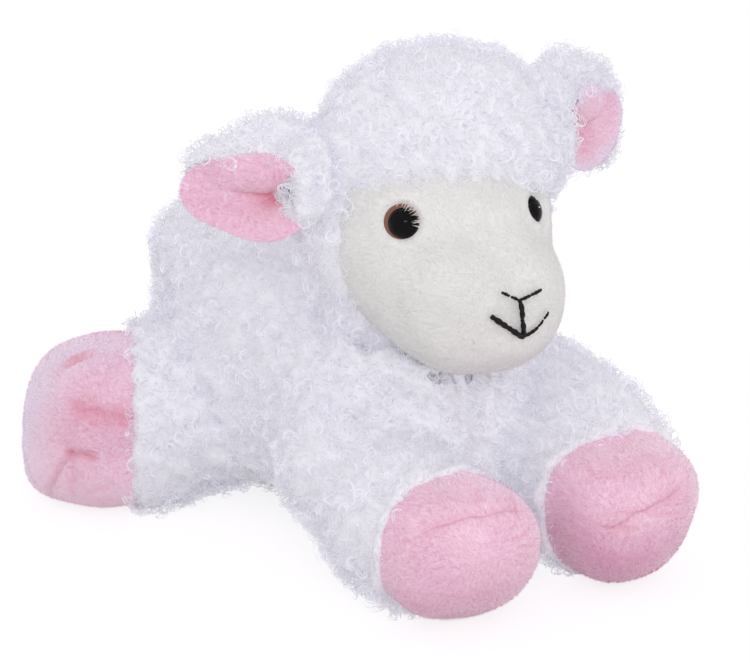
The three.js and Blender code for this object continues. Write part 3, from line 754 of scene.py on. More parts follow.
@dataclass(frozen=True)
class CurlyFleece:
    """Polyester boucle fleece: shiny crimped fibres, painted greyer down by the backing as shade."""

    tip: str = "f9f9fc"
    root: str = "e9e8ed"
    roughness: float = 0.3
    passing: float = 0.6

    def material(self) -> bpy.types.Material:
        """Colour runs from a painted shade at the root to the tip along the curl, and drifts over 9 mm
        patches.

        Returns:
            The material.
        """
        made, node = start_material("polyester_curly_fleece_strands")
        tone_with_painted_light = node("Attribute", attribute_name="tone_with_painted_light").outputs["Fac"]
        place = node("TexCoord").outputs["Object"]
        patch = node("TexNoise", {"Vector": place, "Scale": 1 / 0.009, "Detail": 2.0})
        lift = node("Math", {0: patch, 1: 0.2, 2: tone_with_painted_light}, operation="MULTIPLY_ADD")
        lowered = node("Math", {0: lift, 1: 0.1}, operation="SUBTRACT", use_clamp=True)
        tones = {6: colour(self.root), 7: colour(self.tip)}
        mixed = node("Mix", {0: lowered, **tones}, data_type="RGBA").outputs[2]
        gloss = {"Base Color": mixed, "Roughness": self.roughness, "Specular IOR Level": 0.6}
        through = node("BsdfTranslucent", {"Color": mixed})
        both = node("MixShader", {0: self.passing, 1: node("BsdfPrincipled", gloss), 2: through})
        node("OutputMaterial", {"Surface": both})
        return made


@dataclass(frozen=True)
class FleeceBacking:
    """The dense crimped underwool that shows between the curls: matt, with a 1.4 mm tangle."""

    high: str = "f1f0f5"
    low: str = "e5e4ea"

    def material(self) -> bpy.types.Material:
        """Colour and bump both follow the tangle, so its hollows are painted greyer as shade, and so are the
        hollows of the skin's lumps.

        Returns:
            The material.
        """
        made, node = start_material("polyester_fleece_underwool")
        place = node("TexCoord").outputs["Object"]
        tangle = node("TexNoise", {"Vector": place, "Scale": 1 / 0.0014, "Detail": 4.0, "Distortion": 1.2})
        tone_with_painted_light = node("Attribute", attribute_name="tone_with_painted_light").outputs["Fac"]
        # Painted shade: the tangle's hollows and the skin's hollows come out greyer.
        both = node("Math", {0: tangle, 1: 1.1, 2: tone_with_painted_light}, operation="MULTIPLY_ADD", use_clamp=True)
        tones = {6: colour(self.low), 7: colour(self.high)}
        mixed = node("Mix", {0: both, **tones}, data_type="RGBA").outputs[2]
        bump = node("Bump", {"Strength": 0.7, "Distance": 0.0006, "Height": tangle})
        wool = {"Sheen Weight": 0.3, "Sheen Roughness": 0.5, "Normal": bump}
        shader = node("BsdfPrincipled", {"Base Color": mixed, "Roughness": 0.85, **wool})
        node("OutputMaterial", {"Surface": shader})
        return made


@dataclass(frozen=True)
class ShortPlush:
    """Brushed minky plush: a short velvety pile, painted deeper in colour down in its folds as shade and
    paler on its rims as sheen.

    Attributes:
        name: The material's name.
        high: The colour of pile that faces the light.
        low: The colour between brushed streaks.
        fold: The deep colour of the shade painted down in folds.
        sheen: How velvety its edges look.
        passing: How much light passes through.
        thread: The colour of a sewn line.
        rim: The paler colour of the sheen painted on the pile's rims.
    """

    name: str
    high: str
    low: str
    fold: str
    sheen: float
    passing: float = 0.0
    thread: str = "b56a84"
    rim: str = "e2d3e6"

    def material(self) -> bpy.types.Material:
        """Colour follows the piece's attributes, which paint shade in folds and a paler sheen on rims,
        streaks of pile 0.8 mm by 2.3 mm and 12 mm clouds.

        The streaks lie along a direction that wanders, because their places are shifted by the clouds.
        A sewn line is exp(-(distance / 0.3 mm)^2), where the seam attribute is 0.5 + distance / 8 mm.

        Returns:
            The material.
        """
        made, node = start_material(self.name)

        def held(name: str) -> bpy.types.NodeSocket:
            """The number that the mesh holds under a name."""
            return node("Attribute", attribute_name=name).outputs["Fac"]

        place = node("TexCoord").outputs["Object"]
        broad = node("TexNoise", {"Vector": place, "Scale": 1 / 0.012, "Detail": 1.0})
        wander = node("VectorMath", {0: broad.outputs["Color"], "Scale": 0.009}, operation="SCALE")
        bent = node("VectorMath", {0: place, 1: wander}, operation="ADD")
        drawn = node("Mapping", {"Vector": bent, "Scale": (1.0, 0.35, 0.8)})
        streaks = {"Vector": drawn, "Scale": 1 / 0.0008, "Detail": 3.0, "Distortion": 1.0}
        brushed = node("TexNoise", streaks)
        first = node("Math", {0: brushed, 1: 1.7, 2: held("shade")}, operation="MULTIPLY_ADD")
        second = node("Math", {0: broad, 1: 0.6, 2: first}, operation="MULTIPLY_ADD")
        lowered = node("Math", {0: second, 1: 1.1}, operation="SUBTRACT", use_clamp=True)
        mixed = node("Mix", {0: lowered, 6: colour(self.low), 7: colour(self.high)}, data_type="RGBA")
        off = node("Math", {0: held("seam"), 1: 0.5}, operation="SUBTRACT")
        widths = node("Math", {0: off, 1: 8.0 / 0.3}, operation="MULTIPLY")
        squared = node("Math", {0: widths, 1: widths}, operation="MULTIPLY")
        falling = node("Math", {0: squared, 1: -1.0}, operation="MULTIPLY")
        peak = node("Math", {0: falling}, operation="EXPONENT")
        line = node("Math", {0: peak, 1: held("sewn")}, operation="MULTIPLY")
        # Painted sheen paler on the rims, painted shade deeper in the folds, then the sewn line.
        for share, code in ((held("pale"), self.rim), (held("blush"), self.fold), (line, self.thread)):
            mixed = node("Mix", {0: share, 6: mixed.outputs[2], 7: colour(code)}, data_type="RGBA")
        mixed = mixed.outputs[2]
        height = node("Math", {0: line, 1: -2.0, 2: brushed}, operation="MULTIPLY_ADD")
        bump = node("Bump", {"Strength": 0.6, "Distance": 0.0004, "Height": height})
        velvet = {"Sheen Weight": self.sheen, "Sheen Roughness": 0.45, "Normal": bump}
        shader = node("BsdfPrincipled", {"Base Color": mixed, "Roughness": 0.8, **velvet})
        through = node("BsdfTranslucent", {"Color": mixed})
        both = node("MixShader", {0: self.passing, 1: shader, 2: through})
        node("OutputMaterial", {"Surface": both})
        return made


@dataclass(frozen=True)
class MouldedPlastic:
    """Injection-moulded plastic of a safety eye: a smooth, even colour under a clear gloss."""

    name: str
    base: str
    roughness: float
    specular: float = 0.5

    def material(self) -> bpy.types.Material:
        """A smooth plastic whose roughness drifts a little, as handled plastic does.

        Returns:
            The material.
        """
        made, node = start_material(self.name)
        smudge = node("TexNoise", {"Vector": node("TexCoord").outputs["Object"], "Scale": 1 / 0.002})
        limits = {"To Min": self.roughness * 0.8, "To Max": self.roughness * 1.3}
        rough = node("MapRange", {"Value": smudge, **limits})
        gloss = {"Base Color": colour(self.base), "Roughness": rough, "Specular IOR Level": self.specular}
        node("OutputMaterial", {"Surface": node("BsdfPrincipled", gloss)})
        return made


@dataclass(frozen=True)
class EmbroideryThread:
    """Mercerised polyester embroidery thread: dark brown with a soft gloss."""

    base: str = "0d090c"
    light: str = "241b1f"

    def material(self) -> bpy.types.Material:
        """Fine fibres break up the colour, drawn as coarse as 0.3 mm so that they show.

        Returns:
            The material.
        """
        made, node = start_material("polyester_embroidery_thread")
        place = node("TexCoord").outputs["Object"]
        fibre = node("TexNoise", {"Vector": place, "Scale": 1 / 0.0003, "Detail": 2.0})
        tones = {6: colour(self.base), 7: colour(self.light)}
        mixed = node("Mix", {0: fibre, **tones}, data_type="RGBA").outputs[2]
        gloss = {"Base Color": mixed, "Roughness": 0.45, "Specular IOR Level": 0.15}
        node("OutputMaterial", {"Surface": node("BsdfPrincipled", gloss)})
        return made


FINISHES = {
    "curly_fleece": CurlyFleece(),
    "underwool": FleeceBacking(),
    # Each plush's fourth colour is the deep colour of the shade painted in its folds.
    "cream_plush": ShortPlush("cream_minky_plush", "e7e6e4", "d1cfce", "c9c3c2", 0.2),
    "cream_plush_pile": ShortPlush("cream_minky_pile", "eae9e8", "d6d4d3", "cdc8c7", 0.1, 0.7),
    "pink_plush": ShortPlush("pink_minky_plush", "f0cfe0", "daa3bf", "dc8ea2", 1.0),
    "pink_plush_pile": ShortPlush("pink_minky_pile", "f3dbe8", "e0b0c9", "df9aab", 0.4, 0.7),
    "black_plastic": MouldedPlastic("moulded_black_eye_plastic", "040405", 0.05, 0.11),
    "brown_plastic": MouldedPlastic("moulded_brown_iris_plastic", "7d5347", 0.3, 0.3),
    "washer_plastic": MouldedPlastic("moulded_washer_polyethylene", "e9e9e6", 0.5),
    "embroidery_thread": EmbroideryThread(),
}


@dataclass
class Flock:
    """Grows fleece and pile on sheets, with the finishes that it holds by name."""

    finishes: dict[str, bpy.types.Material]

    def underwool(
        self, name: str, body: str, smooth: Sheet, seed: int, nodes: tuple[str, ...], rough: float = 1.0,
        fill: float = 0.7,
    ) -> None:
        """Makes a fleece skin, lumpy with 7 mm tufts and a 3.6 mm tangle, in place of its nodes.

        Args:
            name: The piece's name.
            body: The body that it rides on.
            smooth: The skin without its lumps.
            seed: Which random draw.
            nodes: The solids that it replaces.
            rough: How lumpy it is.
            fill: Not used.
        """
        at = smooth.points
        tufts = waves(at, 7.0, seed)
        tangle = waves(at + 1.2 * swirls(at, 5.0, seed + 1), 3.6, seed + 9)
        sheet = smooth.moved(rough * (0.3 * tufts + 0.14 * tangle) - 0.4)
        # Painted shade: the skin's hollows between the tufts and in the tangle are darker.
        tint = np.clip(0.45 + 0.2 * tangle + 0.15 * tufts, 0, 1) - 0.55
        skin = skin_piece(name, sheet.grounded(), self.finishes["underwool"], {"tone_with_painted_light": tint})
        settle(skin, body, nodes)

    def curls(
        self, name: str, body: str, sheet: Sheet, keep: Field, seed: int, height: float = FLEECE_DEPTH,
        kinds: tuple[Curl, ...] = (CURLS, LOCKS),
    ) -> None:
        """Grows curls on a fleece sheet, in as many pieces as the most triangles of a piece ask for.

        Args:
            name: The start of the pieces' names.
            body: The body that they ride on.
            sheet: The smooth fleece.
            keep: Says which root places get a curl.
            seed: Which random draw.
            height: How far the curls stand up on average.
            kinds: The kinds of curl that grow.
        """
        rng = np.random.default_rng(seed)
        fibres, tones_with_painted_light = [], []
        for kind in kinds:
            roots, normals = sheet.scatter(kind.spacing, rng)
            kept = keep(roots)
            roots, normals = roots[kept], normals[kept]
            clump = waves(roots, 13.0, 5) * 0.5 + waves(roots, 6.0, 6) * 0.5
            rise = height - 0.2 + 0.5 * clump + rng.uniform(-0.6, 0.6, len(roots))
            grown = kind.grown(roots, normals, np.clip(rise, 0.8, height + 1.8), rng)
            grown[..., 2] = np.maximum(grown[..., 2], FLOOR_CLEAR)
            fibres.append(grown)
            tones_with_painted_light.append(kind.tones_with_painted_light(len(grown), rng))
        total = sum(len(one) * kind.triangles for one, kind in zip(fibres, kinds))
        parts = max(1, math.ceil(total / MOST_TRIANGLES))
        for number in range(parts):
            vertices, faces, tint, first = [], [], [], 0
            for kind, grown, shade in zip(kinds, fibres, tones_with_painted_light):
                block = np.array_split(grown, parts)[number]
                vertices.append(block.reshape(-1, 3))
                tint.append(np.array_split(shade, parts)[number].ravel())
                faces += [rows + first for rows in tube_faces(len(block), kind.steps + 1, FIBRE_SIDES)]
                first += len(vertices[-1])
            label = name if parts == 1 else f"{name}_{number + 1}"
            # Painted shade at the fibres' roots and a painted highlight on the locks, over a random tone.
            values = {"tone_with_painted_light": np.concatenate(tint)}
            fleece = self.finishes["curly_fleece"]
            piece = make_piece(label, np.concatenate(vertices), faces, fleece, values, smooth=False)
            settle(piece, body)

    def pile(
        self, name: str, body: str, sheet: Sheet, keep: Field, ways: Field, plush: Plush, seed: int,
        looks: Callable[[Array], dict[str, Array]] | None = None,
    ) -> None:
        """Grows short pile on a plush sheet.

        Args:
            name: The piece's name.
            body: The body that it rides on.
            sheet: The plush's backing.
            keep: Says which root places get a fibre.
            ways: Gives the brushed direction at each root.
            plush: Which plush it is.
            seed: Which random draw.
            looks: Gives the colour's share, and those of the paler colour of a painted sheen and of the deep
                colour of a painted shade, at each root.
        """
        rng = np.random.default_rng(seed)
        slot, cut = plush.value
        roots, normals = sheet.scatter(cut.spacing, rng)
        kept = keep(roots)
        roots, normals = roots[kept], normals[kept]
        grown = cut.grown(roots, normals, ways(roots), rng)
        grown[..., 2] = np.maximum(grown[..., 2], FLOOR_CLEAR)
        # A random tone for each spike, with painted shade at its foot and a paler painted sheen at its tip.
        tones = rng.uniform(0.45, 0.75, (len(roots), 1)) + np.array([-0.1, -0.1, -0.1, 0.2])
        values = {"shade": tones.ravel()}
        if looks is not None:
            found = looks(roots)
            values["shade"] = values["shade"] + np.repeat(found["shade"] - 0.5, 4)
            values |= {key: np.repeat(found[key], 4) for key in ("blush", "pale")}
        faces, material = spike_faces(len(roots)), self.finishes[slot + "_pile"]
        settle(make_piece(name, grown.reshape(-1, 3), faces, material, values, smooth=False), body)


def valley(points: Array, neighbours: list[Form], rise: float) -> Array:
    """How far fleece swells beside its neighbours, so that no groove is left where they meet.

    It is exp(-(gap / 5 mm)^2) of the fill for each neighbour, whose fleece rises over its form.

    Args:
        points: Places in the frame.
        neighbours: The forms beside the fleece.
        rise: How far their own fleece stands over them.
    Returns:
        How far each place rises, in mm.
    """
    gaps = [np.maximum(one.gap(one.placing.back(points)) - rise, 0.0) for one in neighbours]
    return VALLEY_FILL * sum(hump(gap, VALLEY_WIDTH) for gap in gaps)


@dataclass
class Torso:
    """The stuffed body, with its fleece in two side panels and a belly panel."""

    rump: Lobe = Lobe((0.0, 28.0, 45.5), (86.0, 86.0, 92.0), 2.5)
    chest: Lobe = Lobe((0.0, -22.0, 37.5), (78.0, 84.0, 76.0), 2.1)
    heart: Triple = (0.0, 3.0, 38.0)
    belly_seam: float = 15.0
    uneven: tuple[Swelling, ...] = swells(
        (-37.0, 54.0, 55.0, 15.0, -3.2), (-40.0, 50.0, 49.0, 9.0, -1.5), (-43.0, 39.0, 54.0, 9.0, -2.5),
        (-36.0, 49.0, 52.0, 8.0, -4.0), (-34.0, 50.0, 74.0, 9.0, 3.0), (-9.0, -60.0, 58.0, 8.0, 3.6),
        (0.0, -66.0, 56.0, 7.0, 2.2), (-36.0, 0.0, 6.0, 13.0, 4.0), (40.0, -40.0, 44.0, 15.0, 3.5),
    )

    @property
    def form(self) -> Form:
        """Rump and chest, blended."""
        return Form((self.rump, self.chest), self.heart, NORTH, swellings=self.uneven)

    def build(self, flock: Flock, head: "Head", legs: list["Leg"]) -> None:
        """Makes the underwool and the curls.

        Args:
            flock: What grows the fleece.
            head: The head, which the torso leaves room for.
            legs: The legs, whose insides get no curls.
        """
        form, limbs = self.form, [leg.form for leg in legs]

        def torso_grow(own: Array) -> Array:
            """Lies at the fleece's depth, and swells beside the legs and the head."""
            at = form.placing.out(own)
            return valley(at, limbs, SLEEVE_RISE) + valley(at, [head.form], HOOD_RISE) - FLEECE_DEPTH

        smooth = form.sheet(124, 176, torso_grow, lambda own: ~head.takes(form.placing.out(own)))
        nodes = ("torso_panel_right", "torso_panel_left", "belly_panel", "torso_filling", "pellet_bag")
        flock.underwool("torso_fleece", "torso", smooth, 11, nodes)

        def shows(at: Array) -> Array:
            """Roots that no leg or head hides, and that the floor does not squash.

            Args:
                at: Places in the frame.
            Returns:
                Which of the places get a fibre.
            """
            hidden = head.takes(at, -3.0) | (at[:, 2] < 0.6)
            for limb in limbs:
                hidden |= limb.holds(at, SLEEVE_RISE - 5.0)
            return ~hidden

        zones = {
            "torso_curls_right": lambda at: (at[:, 0] < 0) & (at[:, 2] >= self.belly_seam),
            "torso_curls_left": lambda at: (at[:, 0] >= 0) & (at[:, 2] >= self.belly_seam),
            "belly_curls": lambda at: at[:, 2] < self.belly_seam,
        }
        for seed, (name, zone) in enumerate(zones.items(), start=21):
            kinds = (BELLY_CURLS,) if name == "belly_curls" else (CURLS, LOCKS)
            flock.curls(name, "torso", smooth, lambda at, zone=zone: zone(at) & shows(at), seed, kinds=kinds)


@dataclass
class Leg:
    """A stuffed leg: a fleece sleeve and a pink plush paw.

    Attributes:
        name: The body's name, which starts those of its pieces.
        root: Where it joins the torso.
        root_radius: Of its stuffed root.
        shank: The fleece sleeve's lobe.
        paw: The plush paw's lobe.
        cuff: How far the fleece's edge lies behind the paw's middle.
        seed: Which random draw.
        painted_low_shade: How much darker the paw is painted towards the floor, as shade, or lighter, as
            painted light, where it is negative.
        swellings: Where the stuffing is uneven.
        creases: Seams and puckers of the paw.
        pale: Where a paler sheen is painted on the pile's rims.
        toe_draw: How far the sole is drawn back under the toes.
    """

    name: str
    root: Triple
    root_radius: float
    shank: Lobe
    paw: Lobe
    cuff: float
    seed: int
    painted_low_shade: float
    swellings: tuple[Swelling, ...]
    creases: tuple[Crease, ...]
    pale: tuple[Swelling, ...]
    toe_draw: float = 0.0

    @property
    def along(self) -> Array:
        """From the joint to the paw, level."""
        run = np.array(self.paw.middle) - np.array(self.root)
        run[2] = 0.0
        return unit(run)

    @property
    def form(self) -> Form:
        """The plush's outer reach over the root, the shank and the paw.

        Returns:
            The form.
        """
        wide = 2 * (self.root_radius - SLEEVE_RISE)
        shank = Lobe(self.shank.middle, tuple(size - 2 * SLEEVE_RISE for size in self.shank.size))
        heart = np.array(self.shank.middle) * 2 / 3 + np.array(self.paw.middle) / 3
        lobes = (Lobe(self.root, (wide, wide, wide)), shank, self.paw)
        return Form(lobes, tuple(heart), tuple(self.along), swellings=self.swellings)

    def beyond_cuff(self, own: Array) -> Array:
        """How far own points lie past the edge of the fleece, towards the paw's tip."""
        return (own - np.array(self.paw.middle)) @ self.along + self.cuff

    def build(self, flock: Flock, torso: Torso) -> None:
        """Makes sleeve, paw, curls and pile.

        Args:
            flock: What grows the fleece, and holds the finishes.
            torso: The torso, whose inside gets no curls.
        """
        form, body, name = self.form, torso.form, self.name

        def sleeve_grow(own: Array) -> Array:
            """Stands out as fleece, and dives under the plush past the cuff.

            Args:
                own: Own points.
            Returns:
                How far the surface stands out, in mm.
            """
            past = self.beyond_cuff(own)
            plain = SLEEVE_RISE - FLEECE_DEPTH + valley(form.placing.out(own), [body], 0.0)
            return plain + smoothstep(-1.5, 3.5, past) * (TUCK - plain) - 6.0 * smoothstep(3.0, 12.0, past)

        def shows(at: Array) -> Array:
            """Roots on the sleeve that the torso does not hide."""
            past = self.beyond_cuff(form.placing.back(at))
            return (past < 0.8) & ~body.holds(at, -6.0) & (at[:, 2] > 0.5)

        smooth = form.sheet(92, 112, sleeve_grow)
        flock.underwool(f"{name}_fleece", name, smooth, self.seed, (f"{name}_sleeve", f"{name}_filling"))
        flock.curls(f"{name}_curls", name, smooth, shows, self.seed + 40)
        self.build_paw(flock, form)

    def folds(self, own: Array) -> dict[str, Array]:
        """What seams, puckers and creases do at own points of the paw.

        Each crease sinks by depth * exp(-(off / width)^2), and its painted shade spreads twice as far.

        Args:
            own: Own points.
        Returns:
            Under deep how far the plush sinks, under shade the colour's share, painted darker in creases
            and darker or lighter towards the floor, under pale the share of a paler painted sheen
            on the rims, under blush the share of a deep painted shade, under seam the distance
            off the nearest crease as 0.5 + off / 8 mm, and under sewn how plainly it shows.
        """
        lift = own[..., 2] - self.paw.middle[2]
        ridges = np.sin((lift + 3.0 * waves(own, 24.0, self.seed + 3)) * 2 * math.pi / 3.6)
        patch = smoothstep(0.4, 1.4, waves(own, 17.0, self.seed + 4))
        deep = 0.22 * patch * np.maximum(ridges, 0) ** 2
        # Painted shade: a deeper colour in the wrinkles and along the creases.
        blush = 0.2 * patch * np.maximum(ridges, 0)
        nearest, sewn = np.full(own.shape[:-1], 4.0), np.zeros(own.shape[:-1])
        for crease in self.creases:
            off, held = crease.off(own, self.paw.middle)
            off = off + 0.3 * waves(own, 6.0, self.seed + 8)
            deep = deep + crease.depth * held * hump(off, crease.width)
            blush = blush + crease.blush * held * hump(off, 2.0 * crease.width)
            closer = np.abs(off) < np.abs(nearest)
            nearest = np.where(closer, off, nearest)
            sewn = np.where(closer, crease.sewn * held * smoothstep(3.0, 1.5, np.abs(off)), sewn)
        # Painted shade in the wrinkles and creases, and painted shade or light towards the floor.
        shade = 0.5 - 0.3 * deep - self.painted_low_shade * smoothstep(26.0, 5.0, own[..., 2])
        seam = np.clip(0.5 + nearest / 8.0, 0, 1)
        # Painted sheen: a paler colour where light grazes the pile on the rims.
        pale = np.clip(risen(self.pale, own), 0, 1)
        return {"deep": deep, "shade": shade, "pale": pale, "blush": blush, "seam": seam, "sewn": sewn}

    def build_paw(self, flock: Flock, form: Form) -> None:
        """Makes the paw's plush, with its toe seam, and its pile.

        Args:
            flock: What grows the fleece, and holds the finishes.
            form: The leg's form.
        """

        def paw_grow(own: Array) -> Array:
            """Lies at the plush's depth, and dives under the sleeve behind the cuff."""
            return -PLUSH_DEPTH - 3.2 * smoothstep(-1.0, -6.0, self.beyond_cuff(own))

        def shows(at: Array) -> Array:
            """Roots past the cuff that the floor does not squash."""
            return (self.beyond_cuff(form.placing.back(at)) > -1.0) & (at[:, 2] > 0.3)

        def brushed(at: Array) -> Array:
            """Pile runs back over the paw, in swirls."""
            return unit(-self.along + 0.55 * swirls(at, 34.0, self.seed + 5))

        def looks(at: Array) -> dict[str, Array]:
            """The colours' shares at the roots."""
            return self.folds(form.placing.back(at))

        name, slot = self.name, Plush.PINK.slot
        smooth = form.sheet(104, 136, paw_grow)
        own = form.placing.back(smooth.points)
        ahead = smoothstep(0.0, 14.0, (own - np.array(self.paw.middle)) @ self.along)
        low = smoothstep(26.0, 0.0, own[..., 2])
        smooth = Sheet(smooth.points - (self.toe_draw * ahead * low)[..., None] * self.along)
        folds = self.folds(own)
        sheet = smooth.moved(-folds.pop("deep"))
        paw = skin_piece(f"{name}_paw", sheet.grounded(), flock.finishes[slot], folds)
        settle(paw, name, (f"{name}_paw_top", f"{name}_paw_sole"))
        flock.pile(f"{name}_pile", name, sheet, shows, brushed, Plush.PINK, self.seed + 60, looks)


def foreleg(side: Side) -> Leg:
    """The front leg of one side, as unevenly stuffed as the photograph shows it.

    Args:
        side: Which side.
    Returns:
        The leg.
    """
    sign = side.value
    uneven = {
        Side.RIGHT: {
            "painted_low_shade": 0.3,
            "swellings": swells(
                (-46.0, -36.0, 15.0, 13.0, -2.0), (-46.0, -58.0, 7.0, 13.0, 0.6),
                (-34.0, -101.0, 4.0, 11.0, -2.4), (-43.0, -84.0, 3.0, 10.0, -2.0),
            ),
            "creases": (Crease((-42.0, -99.0, 31.6), (-16.5, -103.0, 33.0), 0.9, 0.3, 0.2, 0.28),),
            "pale": swells((-6.0, -92.0, 28.0, 11.0, 0.6)),
            "toe_draw": 6.0,
        },
        Side.LEFT: {
            "painted_low_shade": 0.8,
            "swellings": swells(
                (41.0, -48.0, 44.0, 19.0, 9.5), (42.0, -68.0, 41.0, 12.0, 5.4),
                (44.0, -82.0, 37.0, 9.0, 0.6), (44.0, -102.0, 12.0, 13.0, -3.4),
                (7.0, -90.0, 13.0, 13.0, -2.8), (48.0, -90.0, 27.0, 12.0, 1.6),
                (26.0, -90.0, 41.0, 12.0, -1.2),
            ),
            "creases": (Crease((11.5, -104.0, 22.2), (33.0, -106.0, 29.4), 0.9, 0.3, 0.2, 0.28),),
            "pale": swells((49.0, -92.0, 27.0, 11.0, 0.6)),
            "toe_draw": 3.0,
        },
    }
    shank = Lobe((28.5 * sign, -66.0, 22.0), (46.0, 50.0, 45.0))
    paw = Lobe((27.0 * sign, -89.0, 19.5), (44.0, 44.0, 40.0), 2.5)
    root = (30.0 * sign, -41.0, 27.0)
    return Leg(f"foreleg_{side.word}", root, 20.0, shank, paw, 6.0, 100 + sign, **uneven[side])


def hindleg(side: Side) -> Leg:
    """The back leg of one side; the two mirror each other.

    Args:
        side: Which side.
    Returns:
        The leg.
    """
    sign = side.value
    mirror = np.array([sign, 1.0, 1.0])
    puckers = (
        ((68.0, 36.0, 43.0), (66.0, 40.5, 43.6), 2.2, 0.5, 0.7, 0.0),
        ((73.8, 29.8, 33.8), (62.5, 19.2, 31.0), 1.5, 0.7, 0.5, 0.0),
        ((76.3, 29.5, 21.9), (71.0, 23.0, 21.0), 1.0, 0.9, 0.5, 0.25),
        ((73.5, 41.5, 6.5), (75.8, 28.5, 21.6), 1.0, 0.8, 0.25, 0.1),
        ((70.0, 33.0, 10.0), (75.0, 27.5, 20.6), 0.8, 0.5, 0.15, 0.0),
    )
    return Leg(
        f"hindleg_{side.word}",
        root=(30.0 * sign, 25.0, 25.0),
        root_radius=20.0,
        shank=Lobe((44.0 * sign, 33.0, 24.0), (49.0, 48.0, 49.0)),
        paw=Lobe((56.0 * sign, 41.5, 23.4), (46.5, 47.0, 48.0), 2.8),
        cuff=8.0,
        seed=200 + sign,
        painted_low_shade=-0.45,
        swellings=swells(
            (74.0, 46.0, 8.0, 9.0, 3.0), (74.0, 50.0, 36.0, 12.0, -2.2),
            (50.0, 12.0, 5.0, 12.0, 1.5), sign=sign,
        ),
        creases=tuple(Crease(tuple(mirror * a), tuple(mirror * b), *rest) for a, b, *rest in puckers),
        pale=swells(
            (76.0, 54.0, 38.0, 15.0, 0.75), (77.0, 54.0, 20.0, 12.0, 0.65), (75.0, 52.0, 6.0, 11.0, 0.5),
            (63.0, 42.0, 49.0, 12.0, 0.5), (50.0, 38.0, 49.0, 10.0, 0.25), sign=sign,
        ),
    )


@dataclass
class Neck:
    """The stuffed ball that the head turns and nods on."""

    radius: float = 27.0

    def build(self, flock: Flock, torso: Torso) -> None:
        """Makes the neck's fleece, which shows under the chin.

        Args:
            flock: What grows the fleece, and holds the finishes.
            torso: The torso, whose inside gets no curls.
        """
        wide, body = 2 * self.radius, torso.form
        smooth = Form((Lobe(NECK, (wide, wide, wide)),), NECK, (0.0, 0.0, 1.0)).sheet(60, 90, 1.6)
        flock.underwool("neck_fleece", "neck", smooth, 31, ("neck_sleeve", "neck_filling"), rough=0.6)

        def shows(at: Array) -> Array:
            """Roots in front, under the chin, that the torso does not hide."""
            return ~body.holds(at, -4.0) & (at[:, 2] < 80.0) & (at[:, 1] < -5.0)

        flock.curls("neck_curls", "neck", smooth, shows, 71)


